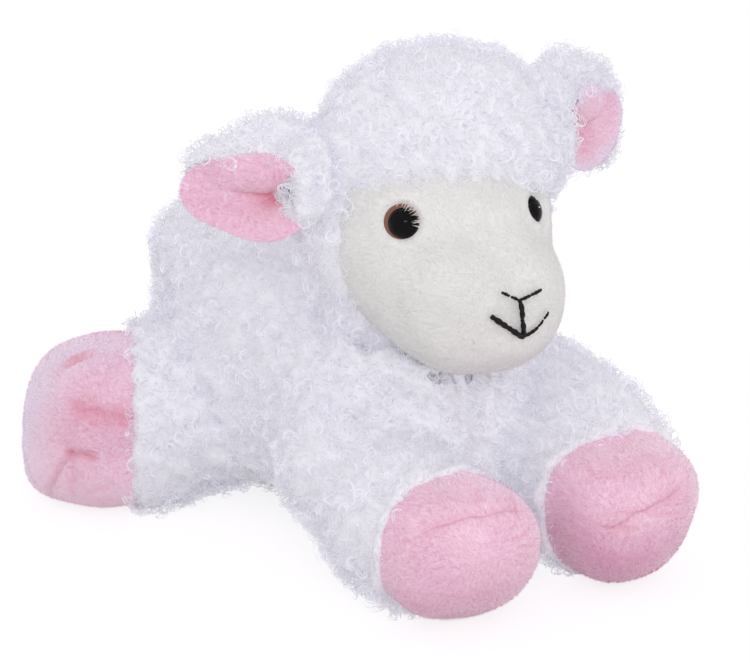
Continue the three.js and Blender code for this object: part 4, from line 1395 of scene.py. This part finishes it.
@dataclass(frozen=True)
class Eye:
    """A safety eye on the plush.

    Attributes:
        side: Which eye.
        across: Its own x.
        swing: How far it looks outwards, in degrees.
        draw: How deep the plush is drawn in round it.
        sink: How deep its dome sits.
        shift: How far its dome lies from the iris's middle to the nose.
        disc_sink: How much deeper its iris sits than its dome.
        lashes: How many fibres lean over it, their greatest length, and their lean in degrees.
        up: Its own z.
    """

    side: Side
    across: float
    swing: float
    draw: float
    sink: float
    shift: float
    disc_sink: float
    lashes: tuple[int, float, float]
    up: float = 104.3

    def place(self, form: Form) -> tuple[Array, Array]:
        """Its own place on the plush, and the direction that it looks in, swung to its side."""
        at = form.front(self.across, self.up)
        return at, turning((0, 0, 1), self.side.value * self.swing) @ form.outward(at)

    def dimple(self, own: Array, form: Form) -> Array:
        """How deep the plush is drawn in round it: a bowl with a raised lip.

        Args:
            own: Own points.
            form: The head's form.
        Returns:
            Depths in mm.
        """
        away = np.linalg.norm(own - self.place(form)[0], axis=-1)
        return self.draw * hump(away, 4.7, 4) - 0.5 * hump(away - 6.2, 2.0)

    def build(self, flock: Flock, form: Form) -> None:
        """Makes the pupil's dome and the iris under it, each turned from its profile, and the fringe.

        Args:
            flock: What grows the fleece, and holds the finishes.
            form: The head's form.
        """
        at, out = self.place(form)
        word = self.side.word
        first = unit(np.cross(out, (0.0, 0.0, 1.0)))
        second = np.cross(out, first)
        inner = unit(np.array([-self.side.value, 0.0, -0.75]))
        around = np.linspace(0, 2 * math.pi, 48, endpoint=False)[:, None]

        def turned(profile: Array, push: float, shift: float) -> Sheet:
            """A profile of radius and height, turned about the eye's axis and shifted to the nose.

            Args:
                profile: Rows of radius and height.
                push: How far it moves out along the axis.
                shift: How far it moves to the nose.
            Returns:
                The surface in the frame.
            """
            ring = np.cos(around) * first + np.sin(around) * second
            points = profile[:, 0, None, None] * ring + (profile[:, 1, None, None] + push) * out
            return Sheet(form.placing.out(at + points + shift * inner))

        quarter = np.linspace(0, math.pi / 2, 16)
        cap = np.stack([4.25 * np.cos(quarter), 3.3 * np.sin(quarter)], -1)
        cap[-1, 0] = 0.0
        dome = np.concatenate([[[0.0, -1.5], [3.6, -1.5], [4.2, -0.5]], cap])
        bead = np.linspace(-math.pi / 2, math.pi / 2, 9)
        rim = np.stack([4.2 + 0.55 * np.cos(bead), 0.4 * np.sin(bead)], -1)
        disc = np.concatenate([[[0.0, -0.4]], rim, [[0.0, 0.55]]])
        pupil = turned(dome, -self.sink, self.shift)
        pupil = skin_piece(f"pupil_{word}", pupil, flock.finishes["black_plastic"])
        settle(pupil, "head", (f"eye_{word}",))
        iris = turned(disc, -self.sink - self.disc_sink, 0.0)
        iris = skin_piece(f"iris_disc_{word}", iris, flock.finishes["brown_plastic"])
        settle(iris, "head", (f"iris_{word}",))
        hairs = form.placing.out(self.fringe(at, out, first, second))
        # The fringe takes the plush's lightest colour: a painted highlight on the fibres over the dark eye.
        pile, painted_highlight = flock.finishes["cream_plush_pile"], {"shade": np.full(hairs.size // 3, 1.2)}
        faces = spike_faces(len(hairs))
        fringe = make_piece(f"eye_fringe_{word}", hairs.reshape(-1, 3), faces, pile, painted_highlight, smooth=False)
        settle(fringe, "head")
        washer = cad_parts[f"eye_washer_{word}"].data.materials
        washer.clear()
        washer.append(flock.finishes["washer_plastic"])

    def fringe(self, at: Array, out: Array, first: Array, second: Array) -> Array:
        """Own spikes of longer pile that lean over the eye from above and from the nose's side.

        Args:
            at: The eye's own place.
            out: The direction that it looks in.
            first: One direction across it.
            second: The other.
        Returns:
            Points by spike, corner and coordinate.
        """
        rng = np.random.default_rng(95 + self.side.value)
        count, most, steep = self.lashes
        inward = np.array([-self.side.value * 1.0, 0.0, 0.0])
        inward = unit(inward - (inward @ out) * out)
        upward = np.cross(out, inward) * self.side.value
        upward = upward * np.sign(upward[2])
        angle = np.radians(np.linspace(-25.0, 95.0, count) + rng.uniform(-7, 7, count))[:, None]
        away = np.cos(angle) * inward + np.sin(angle) * upward
        roots = at + away * rng.uniform(4.9, 5.7, (count, 1)) + 0.35 * inward - 0.7 * out
        lean = np.radians(rng.uniform(steep - 12.0, steep + 12.0, (count, 1)))
        axis = np.cos(lean) * out - np.sin(lean) * away
        stray = rng.normal(0, 0.22, (count, 1)) * np.cross(out, away)
        length = rng.uniform(most / 2, most, (count, 1))
        return spikes(roots, roots + unit(axis + stray) * length, first, second, 0.3)


@dataclass(frozen=True)
class Stitches:
    """A few stitches of thread end to end along a line on the muzzle, from one x and z to another.

    Attributes:
        start: One end.
        end: The other end.
        count: How many stitches.
        radius: Of the thread.
        gap: The share of each stitch that is left open at either end.
    """

    start: Pair
    end: Pair
    count: int
    radius: float
    gap: float = 0.0

    STEPS = 16
    SIDES = 8

    def tubes(self, form: Form) -> list[Array]:
        """The two twisted plies of every stitch, each of which sinks into the plush at both ends.

        A ply winds round the stitch's line at 0.24 of the radius and is 0.8 of it thick, once round in
        5.5 radii. The line stands up by the root of a sine between its two ends.

        Args:
            form: The head's form.
        Returns:
            Points in the frame by step and side, for each ply.
        """
        made, radius = [], self.radius
        arch = np.sin(np.linspace(0, math.pi, self.STEPS + 1)) ** 0.5
        angle = np.linspace(0, 2 * math.pi, self.SIDES, endpoint=False)[:, None]
        for number in range(self.count):
            low, high = (number + self.gap) / self.count, (number + 1 - self.gap) / self.count
            share = np.linspace(low, high, self.STEPS + 1)
            across = self.start[0] + (self.end[0] - self.start[0]) * share
            up = self.start[1] + (self.end[1] - self.start[1]) * share
            at = form.front(across, up)
            out = form.outward(at)
            line = at + out * (0.5 * radius + 0.75 * radius * arch - 0.5)[:, None]
            ahead = unit(np.gradient(line, axis=0))
            first = unit(np.cross(ahead, out))
            second = np.cross(first, ahead)
            ring = np.cos(angle) * first[:, None] + np.sin(angle) * second[:, None]
            thick = (0.8 * radius * (0.6 + 0.4 * arch))[:, None, None]
            length = np.linalg.norm(line[-1] - line[0])
            twist = 2 * math.pi * length / (5.5 * radius) * np.linspace(0, 1, self.STEPS + 1)
            for phase in (0.0, math.pi):
                turn = (twist + phase)[:, None]
                offset = 0.24 * radius * (np.cos(turn) * first + np.sin(turn) * second)
                made.append(form.placing.out((line + offset)[:, None] + thick * ring))
        return made


@dataclass
class Head:
    """The head: fleece hood, cream face, eyes and embroidery.

    Attributes:
        skull: The lobe of the back and top.
        cheek: The lobe of the cheeks.
        muzzle: The lobe of the muzzle.
        heart: Where the form is seen from.
        crown_hollows: Where the hood is loosely filled, and one place where it is full.
        brow: The brow line's top, its x there, how much it bends, and its height past its left corner.
        oval: The opening's half width, half height, middle height and power.
        back: Where the opening ends on the cheeks, and how much further back on the left one.
        eyes: The two eyes.
    """

    skull: Lobe = Lobe((0.0, -33.0, 107.0), (70.0, 56.0, 70.0))
    cheek: Lobe = Lobe((0.0, -44.5, 91.5), (62.2, 49.0, 55.0))
    muzzle: Lobe = Lobe((0.0, -61.0, 82.0), (49.6, 52.0, 42.5), 2.3)
    heart: Triple = (0.0, -52.5, 91.0)
    crown_hollows: tuple[Swelling, ...] = swells(
        (-14.0, -18.0, 138.0, 26.0, -4.2), (-31.0, -14.0, 123.0, 12.0, -6.0),
        (12.0, -24.0, 143.0, 16.0, -2.6), (33.0, -42.0, 111.0, 9.0, 3.5),
    )
    brow: tuple[float, ...] = (116.5, -7.0, 0.01, 105.5)
    oval: tuple[float, ...] = (36.5, 34.0, 88.0, 2.3)
    back: Pair = (-45.0, 4.5)
    eyes: tuple[Eye, ...] = (
        Eye(Side.RIGHT, -22.1, 3.0, 1.5, 1.0, 1.0, 0.2, (18, 3.6, 50.0)),
        Eye(Side.LEFT, 20.4, 27.0, 0.7, 3.5, 0.0, 0.9, (6, 0.8, 10.0)),
    )

    @staticmethod
    def placing() -> Placing:
        """How the head turns 6 degrees to its right, nods and tilts about the neck's middle.

        Returns:
            The placing.
        """
        turn = turning((0, 0, 1), -6.0) @ turning((1, 0, 0), 4.0) @ turning((0, 1, 0), 2.0)
        return STANDING.after(Placing(turn, np.array(NECK) - turn @ np.array(NECK)))

    @property
    def form(self) -> Form:
        """Skull, cheeks and muzzle at the plush's outer reach."""
        return Form((self.skull, self.cheek, self.muzzle), self.heart, NORTH, self.placing())

    def in_face(self, own: Array) -> Array:
        """How far own points lie inside the face's opening, in mm; less than 0 is outside.

        Above, the opening ends at a brow line top - bend (x - across)^2, which is level beyond its left
        corner. Below, it is half an oval |x/a|^p + |z/c|^p = 1. Behind, it ends at the cheeks, a little
        further back on the left one.

        Args:
            own: Own points.
        Returns:
            One number for each point.
        """
        x, y, z = own[..., 0], own[..., 1], own[..., 2]
        top, across, bend, corner = self.brow
        brow = top - bend * (x - across) ** 2
        brow = np.where(x > 0, np.maximum(brow, corner), brow)
        wide, deep, level, power = self.oval
        sides = np.abs(x / wide) ** power
        down = (np.maximum(level - z, 0.0) / deep) ** power
        oval = (1 - (sides + down) ** (1 / power)) * wide
        behind = self.back[0] + self.back[1] * smoothstep(5.0, 20.0, x) - y
        return np.minimum(np.minimum(brow - z, oval), behind)

    def takes(self, at: Array, spare: float = 0.0) -> Array:
        """Which points of the frame the head's fleece or plush takes, and how much spare room more.

        Args:
            at: Places in the frame.
            spare: Room to keep round it, in mm.
        Returns:
            True where it does.
        """
        own = self.form.placing.back(at)
        rise = np.where(self.in_face(own) > 1.0, 0.5, HOOD_RISE) + spare
        return self.form.depth(own, rise) < 1.0

    def build(self, flock: Flock, torso: Torso) -> None:
        """Makes face, hood, eyes and stitches.

        Args:
            flock: What grows the fleece, and holds the finishes.
            torso: The torso, beside which the hood swells.
        """
        self.build_face(flock)
        self.build_hood(flock, torso)
        for eye in self.eyes:
            eye.build(flock, self.form)
        self.build_stitches(flock)

    def build_face(self, flock: Flock) -> None:
        """Makes the cream plush over the whole stuffing, with pile where the hood is open.

        Args:
            flock: What grows the fleece, and holds the finishes.
        """
        form = self.form
        places = {eye.side: eye.place(form)[0] for eye in self.eyes}

        def face_grow(own: Array) -> Array:
            """Lies at the plush's depth, and sinks with the hood where its crown is hollow."""
            low = np.minimum(risen(self.crown_hollows, own), 0.0)
            return -PLUSH_DEPTH + low * smoothstep(4.0, -2.0, self.in_face(own))

        def grows(at: Array) -> Array:
            """Roots in the opening, clear of the eyes.

            Args:
                at: Places in the frame.
            Returns:
                Which of the places get a fibre.
            """
            mine = form.placing.back(at)
            kept = self.in_face(mine) > -3.0
            for middle in places.values():
                kept &= np.linalg.norm(mine - middle, axis=-1) > 4.7
            return kept

        def brushed(at: Array) -> Array:
            """Pile runs down and back from the brow, and stands in over the eyes' inner edges.

            Args:
                at: Places in the frame.
            Returns:
                The brushed direction at each place.
            """
            mine = form.placing.back(at)
            way = np.stack([0.9 * mine[:, 0] / 30, np.full(len(mine), 0.75), np.full(len(mine), -0.35)], -1)
            way = way + 0.25 * swirls(at, 30.0, 51)
            for side, middle in places.items():
                away = mine - middle
                near = hump(np.linalg.norm(away, axis=-1), 7.0, 4)
                inner = smoothstep(-1.0, 3.0, away[:, 2] - side.value * away[:, 0])
                way = way - (6.0 * near * inner)[:, None] * unit(away)
            return unit(way @ form.placing.turn.T)

        smooth = form.sheet(134, 176, face_grow)
        own = form.placing.back(smooth.points)
        deep = sum(eye.dimple(own, form) for eye in self.eyes) + 0.18 * waves(own, 19.0, 41)
        sheet, slot = smooth.moved(-deep), Plush.CREAM.slot
        # Painted shade: the plush is darker where it is drawn in round the eyes and in its waves, lighter
        # where they rise.
        shade = {"shade": 0.5 - 0.3 * np.clip(deep, -1, 2)}
        face = skin_piece("face_plush", sheet, flock.finishes[slot], shade)
        settle(face, "head", ("face_panel", "head_filling"))
        flock.pile("face_pile", "head", sheet, grows, brushed, Plush.CREAM, 81)

    def build_hood(self, flock: Flock, torso: Torso) -> None:
        """Makes the hood's underwool, which dives under the plush in the opening, and its curls.

        Args:
            flock: What grows the fleece, and holds the finishes.
            torso: The torso, beside which the hood swells.
        """
        form, body = self.form, torso.form

        def hood_grow(own: Array) -> Array:
            """Stands out as fleece round the opening, and lies under the plush inside it.

            Args:
                own: Own points.
            Returns:
                How far the surface stands out, in mm.
            """
            inside = self.in_face(own)
            thin = 0.45 + 0.55 * smoothstep(0.0, 9.0, -inside)
            plain = thin * (HOOD_RISE - FLEECE_DEPTH) + valley(form.placing.out(own), [body], HOOD_RISE)
            for low in self.crown_hollows:
                plain = plain + low.at(own)
            return plain + smoothstep(-2.0, 3.0, inside) * (TUCK - plain)

        def shows(at: Array, sign: int) -> Array:
            """Roots outside the opening on one half, clear of the neck's inside.

            Args:
                at: Places in the frame.
                sign: The sign of the half's own x.
            Returns:
                Which of the places get a fibre.
            """
            own = form.placing.back(at)
            in_neck = np.linalg.norm(own - np.array(NECK), axis=-1) < 22.0
            return (self.in_face(own) < 1.6) & (own[:, 0] * sign >= 0) & ~in_neck

        smooth = form.sheet(112, 156, hood_grow)
        flock.underwool("hood_fleece", "head", smooth, 61, ("hood_right", "hood_left"))
        for side in Side:
            keep, seed = partial(shows, sign=side.value), 90 + side.value
            flock.curls(f"hood_curls_{side.word}", "head", smooth, keep, seed, FLEECE_DEPTH + 0.4)

    def build_stitches(self, flock: Flock) -> None:
        """Makes nose, lip and mouth, each one piece of thread.

        Args:
            flock: What grows the fleece, and holds the finishes.
        """
        nose, mouth, corner = (0.3, 88.9), (1.9, 78.5), (6.6, 80.6)
        lines = {
            "nose": (Stitches((-4.8, 91.4), nose, 2, 0.46, 0.1), Stitches(nose, (7.8, 90.6), 2, 0.5, 0.05)),
            "lip": (Stitches(nose, mouth, 2, 0.76),),
            "mouth": (
                Stitches((-7.9, 85.4), mouth, 2, 0.82), Stitches(mouth, corner, 1, 0.5),
                Stitches(corner, (10.3, 84.2), 2, 0.36, 0.08),
            ),
        }
        for word, runs in lines.items():
            grid = np.stack([tube for run in runs for tube in run.tubes(self.form)])
            thread, faces = flock.finishes["embroidery_thread"], tube_faces(*grid.shape[:3])
            piece = make_piece(f"{word}_embroidery", grid.reshape(-1, 3), faces, thread)
            settle(piece, "head", (f"{word}_stitch",))


@dataclass
class Ear:
    """A floppy ear: fleece behind, pink plush in front, pinched together at the root.

    Own axes: x from root to tip, y up along the ear, z out of its pink side.

    Attributes:
        side: Which ear.
        sweep: How far it points backwards, in degrees.
        fold_start: How far out the fleece folds over the pink side.
        rim: How much paler the sheen painted on the pink leaf's rim is.
        tip: The fleece's lobe at the tip.
    """

    side: Side
    sweep: float
    fold_start: float
    rim: float
    tip: Lobe

    @property
    def placing(self) -> Placing:
        """Puts the ear's own axes at its root on the head, swept back and twisted by 12 degrees.

        Returns:
            The placing.
        """
        sign, sweep = self.side.value, math.radians(self.sweep)
        along = unit(np.array([sign * math.cos(sweep), math.sin(sweep), math.tan(math.radians(1.0))]))
        facing = np.array([sign * math.sin(sweep), -math.cos(sweep), 0.0])
        facing = turning(tuple(along), -sign * 12.0) @ facing
        up = np.cross(facing, along) * sign
        root = np.array([sign * 36.0, -39.0, 108.0 + sign * 5.0])
        return Head.placing().after(Placing(np.stack([along, up, facing], 1), root))

    @property
    def outline(self) -> Form:
        """The pink leaf seen from the front."""
        lobes = (Lobe((15.0, 0.6, 0.0), (29.0, 23.5, 20.0)), Lobe((25.5, 0.3, 0.0), (23.0, 17.0, 20.0)))
        return Form(lobes, (16.0, 0.5, 0.0), (0.0, 0.0, 1.0), blend=8.0)

    @property
    def leaf(self) -> Form:
        """The fleece: a broad middle, a tip, and a root that wraps the pinch."""
        middle, root = Lobe((12.5, 8.3, -3.0), (30.0, 29.5, 13.0)), Lobe((3.0, 6.5, 1.0), (17.0, 26.0, 23.0))
        return Form((middle, self.tip, root), (13.0, 5.5, -3.0), (1.0, 0.0, 0.0), self.placing)

    def in_leaf(self, own: Array) -> Array:
        """How far own points lie inside the pink leaf's rim, seen from the front, in mm."""
        return -self.outline.gap(own * np.array([1.0, 1.0, 0.0]))

    @staticmethod
    def above(own: Array) -> Array:
        """How far own points lie over the crease that the pinch makes, y = 1.2 + 0.05 (16.5 - x)^2."""
        return own[..., 1] - 1.2 - 0.05 * np.maximum(16.5 - own[..., 0], 0.0) ** 2

    def fold(self, own: Array) -> Array:
        """How far the fleece folds round the root over the pink side, from 0 to 1."""
        start = self.fold_start
        return smoothstep(start, start - 6.0, own[..., 0]) * smoothstep(-6.5, -1.0, own[..., 1])

    def front_height(self, own: Array) -> Array:
        """The pink side's height over the ear's plane: a cup, a roll over the crease, a hollow under it.

        Args:
            own: Own points.
        Returns:
            Heights in mm.
        """
        x, above = own[..., 0], self.above(own)
        share = np.clip(self.outline.depth(own * np.array([1.0, 1.0, 0.0])), 0, 1)
        near = smoothstep(31.0, 13.0, x)
        risen_by = 1 - np.exp(-np.maximum(above, 0.0) / 0.8)
        roll = 3.8 * near * risen_by * hump(np.maximum(above - 4.0, 0), 5.0)
        hollow = -2.8 * smoothstep(22.0, 9.0, x) * hump(above + 1.6, 2.6)
        return 3.6 * share**2 + roll + hollow - 1.5 * smoothstep(24.0, 37.0, x)

    def folds(self, own: Array) -> dict[str, Array]:
        """The colour's share, that of a paler sheen painted on the rim, and that of the deep colour painted
        as shade in the hollow and along the crease.

        Args:
            own: Own points.
        Returns:
            The shares under shade, pale and blush.
        """
        x, above = own[..., 0], self.above(own)
        # Painted shade deeper along the crease and in the hollow, and a paler painted sheen on the rim.
        line = smoothstep(22.0, 14.0, x) * hump(above, 0.9)
        pit = smoothstep(18.0, 10.0, x) * hump(above + 1.6, 2.4)
        spread = smoothstep(26.0, 5.0, x) * hump(above + 3.0, 5.0)
        blush = np.clip(0.8 * line + 0.9 * pit + 0.35 * spread, 0, 1)
        pale = self.rim * smoothstep(5.0, 0.2, self.in_leaf(own))
        return {"shade": np.full(x.shape, 0.5), "pale": pale, "blush": blush}

    def lining(self, rings: int, spokes: int, thick: float) -> Sheet:
        """The closed pink leaf: rays from its heart times sin t, between its front and a back behind it.

        Args:
            rings: Steps of t.
            spokes: Rays.
            thick: How far the back lies behind the front.
        Returns:
            The surface in the frame.
        """
        outline = self.outline
        angle = np.linspace(0, 2 * math.pi, spokes, endpoint=False)
        ways = np.stack([np.cos(angle), np.sin(angle), np.zeros(spokes)], -1)
        turn = np.linspace(0, math.pi, rings + 1)
        share = np.sin(turn)[:, None] * np.ones(spokes)
        own = np.array(outline.heart) + ways * (share * outline.reach(ways))[..., None]
        upper = self.front_height(own)
        lower = upper - thick
        bulge = np.sign(np.cos(turn))[:, None] * np.abs(np.cos(turn))[:, None] ** 0.5
        own[..., 2] = (upper + lower) / 2 + (upper - lower) / 2 * bulge
        return Sheet(self.placing.out(own))

    def build(self, flock: Flock) -> None:
        """Makes lining, fleece, curls and pile.

        Args:
            flock: What grows the fleece, and holds the finishes.
        """
        side, body, placing, slot = self.side.word, f"ear_{self.side.word}", self.placing, Plush.PINK.slot

        def looks(at: Array) -> dict[str, Array]:
            """The colours' shares at points of the frame."""
            return self.folds(placing.back(at))

        def behind(own: Array) -> Array:
            """Places behind the pink side, or over it where the fleece folds round the root."""
            front = self.front_height(own) - 1.6
            return own[..., 2] < front + self.fold(own) * (6.8 - front)

        def on_back(at: Array) -> Array:
            """Roots behind the pink side or above it.

            Args:
                at: Places in the frame.
            Returns:
                Which of the places get a fibre.
            """
            own = placing.back(at)
            inside = self.in_leaf(own) > 0.8 + 1.2 * smoothstep(2.0, 8.0, own[:, 1])
            front = self.front_height(own)
            return ~(inside & (own[:, 2] > front - 5.0)) | (own[:, 2] > front + 0.2)

        def on_front(at: Array) -> Array:
            """Roots on the pink side and round its rim."""
            own = placing.back(at)
            return own[:, 2] > self.front_height(own) - 2.6

        def brushed(at: Array) -> Array:
            """Pile runs out to the tip, in swirls."""
            return unit((np.array([1.0, -0.2, 0.0]) + 0.4 * swirls(at, 20.0, 351)) @ placing.turn.T)

        lining = self.lining(60, 110, 2.4)
        pink = skin_piece(f"ear_plush_{side}", lining, flock.finishes[slot], looks(lining.points))
        settle(pink, body, (f"ear_{side}_lining",))
        smooth = self.leaf.sheet(84, 104, 0.0, behind)
        flock.underwool(f"ear_fleece_{side}", body, smooth, 301, (f"ear_{side}_outer",), 0.6, 0.3)
        kinds, seed = (FINE_CURLS, LOCKS), 311 + self.side.value
        flock.curls(f"ear_curls_{side}", body, smooth, on_back, seed, 1.6, kinds)
        flock.pile(f"ear_pile_{side}", body, lining, on_front, brushed, Plush.PINK, 361, looks)


@dataclass
class Tail:
    """The short fleece tail behind the rump."""

    root: Triple = (0.0, 65.0, 50.0)
    root_radius: float = 6.5
    drop: Lobe = Lobe((0.0, 76.0, 42.0), (17.0, 16.0, 27.0))
    heart: Triple = (0.0, 70.5, 46.0)
    curls_from: float = 77.0

    def build(self, flock: Flock) -> None:
        """Makes the tail's underwool and curls.

        Args:
            flock: What grows the fleece, and holds the finishes.
        """
        wide = 2 * self.root_radius
        form = Form((Lobe(self.root, (wide, wide, wide)), self.drop), self.heart, (0.0, 11.0, -8.0))
        smooth = form.sheet(50, 60, -FLEECE_DEPTH + 0.6)
        flock.underwool("tail_fleece", "tail", smooth, 401, ("tail_upper", "tail_under"), 0.6, 0.4)
        flock.curls("tail_curls", "tail", smooth, lambda at: at[:, 1] > self.curls_from, 411)


@dataclass
class Studio:
    """Plain floor, soft light and the camera at the photograph's angle."""

    target: Triple = (0.0, 2.24, 53.7)
    azimuth: float = -34.2
    elevation: float = 18.8
    distance: float = 1147.0
    lens: float = 197.1
    sensor: float = 36.0
    floor_half: float = 4000.0
    surround: float = 0.78

    def build(self) -> None:
        """Makes floor, lights, world and camera."""
        scene = bpy.context.scene
        scene.view_settings.view_transform = "Standard"
        self.build_floor()
        self.build_world(scene)
        self.build_lamp("key_softbox", (-560.0, -760.0, 620.0), 110.0, 0.9)
        self.build_lamp("second_softbox", (-380.0, -860.0, 640.0), 80.0, 0.45)
        self.build_lamp("front_fill", (-480.0, -980.0, 380.0), 600.0, 2.4, fill=True)
        self.build_lamp("right_fill", (760.0, -560.0, 260.0), 500.0, 0.9, fill=True)
        self.build_lamp("back_fill", (-520.0, 760.0, 560.0), 700.0, 1.2, fill=True)
        a, e = math.radians(self.azimuth), math.radians(self.elevation)
        back = np.array([math.sin(a) * math.cos(e), -math.cos(a) * math.cos(e), math.sin(e)])
        data = bpy.data.cameras.new("camera")
        data.lens, data.sensor_width = self.lens, self.sensor
        data.clip_start, data.clip_end = 0.05, 20.0
        camera = bpy.data.objects.new("camera", data)
        camera.location = (np.array(self.target) + back * self.distance) * MM
        camera.rotation_euler = Vector(-back).to_track_quat("-Z", "Y").to_euler()
        scene.collection.objects.link(camera)
        scene.camera = camera

    @staticmethod
    def shown(node: Adder) -> bpy.types.Node:
        """1 for rays that show the background: those of the camera, of gloss and of transmission.

        Args:
            node: What adds nodes to the tree.
        Returns:
            The node that gives it.
        """
        rays = node("LightPath").outputs
        first = node("Math", {0: rays["Is Camera Ray"], 1: rays["Is Transmission Ray"]}, operation="MAXIMUM")
        return node("Math", {0: first, 1: rays["Is Glossy Ray"]}, operation="MAXIMUM")

    def build_floor(self) -> None:
        """Makes a white floor that the camera sees as white and that keeps the lamb's shadow."""
        made, node = start_material("matt_white_floor")
        seen, white = self.shown(node), (1.0, 1.0, 1.0, 1.0)
        tones = {6: colour("d8d6d8"), 7: (0.28, 0.26, 0.28, 1.0)}
        tone = node("Mix", {0: seen, **tones}, data_type="RGBA").outputs[2]
        glow = node("MapRange", {"Value": seen, "To Min": 0.0, "To Max": self.surround})
        matt = {"Base Color": tone, "Roughness": 0.9, "Specular IOR Level": 0.0}
        shader = node("BsdfPrincipled", {**matt, "Emission Color": white, "Emission Strength": glow})
        node("OutputMaterial", {"Surface": shader})
        corners = self.floor_half * np.array([[-1, -1, 0], [1, -1, 0], [1, 1, 0], [-1, 1, 0]])
        make_piece("floor", corners, [np.array([[0, 1, 2, 3]])], made)

    def build_world(self, scene: bpy.types.Scene) -> None:
        """Makes an even, whitish surround that the camera sees as white.

        Args:
            scene: The scene that it belongs to.
        """
        world = bpy.data.worlds.new("white_surround")
        world.use_nodes = True
        world.node_tree.nodes.clear()
        node = partial(add_node, world.node_tree)
        plain = node("MapRange", {"Value": self.shown(node), "To Min": self.surround, "To Max": 1.0})
        shade = node("Background", {"Color": (1.0, 1.0, 1.0, 1.0), "Strength": plain})
        node("OutputWorld", {"Surface": shade})
        scene.world = world

    def build_lamp(self, name: str, place: Triple, size: float, power: float, fill: bool = False) -> None:
        """Makes a square soft light that looks at the lamb; a fill casts no shadow and isn't mirrored.

        Args:
            name: The light's name.
            place: Where it stands, in mm.
            size: The square's side in mm.
            power: In watts.
            fill: Whether it is a fill.
        """
        data = bpy.data.lights.new(name, "AREA")
        data.size = size * MM
        data.energy = power
        data.use_shadow = not fill
        lamp = bpy.data.objects.new(name, data)
        lamp.location = np.array(place) * MM
        lamp.rotation_euler = (Vector(place) - Vector((0.0, 0.0, 60.0))).to_track_quat("Z", "Y").to_euler()
        lamp.visible_glossy = not fill
        bpy.context.scene.collection.objects.link(lamp)


def main() -> None:
    """Builds every sub-assembly in order and reports it."""
    logging.basicConfig(level=logging.INFO, format="%(name)s: %(message)s")
    Studio().build()
    flock = Flock({name: finish.material() for name, finish in FINISHES.items()})
    head, torso = Head(), Torso()
    legs = [leg(side) for leg in (foreleg, hindleg) for side in Side]
    torso.build(flock, head, legs)
    for leg in legs:
        leg.build(flock, torso)
    Neck().build(flock, torso)
    head.build(flock, torso)
    Ear(Side.RIGHT, 37.0, 11.0, 0.0, Lobe((25.8, 4.8, -2.0), (21.6, 20.4, 11.0))).build(flock)
    Ear(Side.LEFT, 30.0, 6.0, 0.8, Lobe((27.0, 1.5, -2.0), (24.0, 30.0, 11.0))).build(flock)
    Tail().build(flock)
    meshes = [one.data for one in bpy.context.scene.objects if one.type == "MESH"]
    log.info("%d triangles in all", sum(len(mesh.loops) - 2 * len(mesh.polygons) for mesh in meshes))


if __name__ == "__main__":
    main()
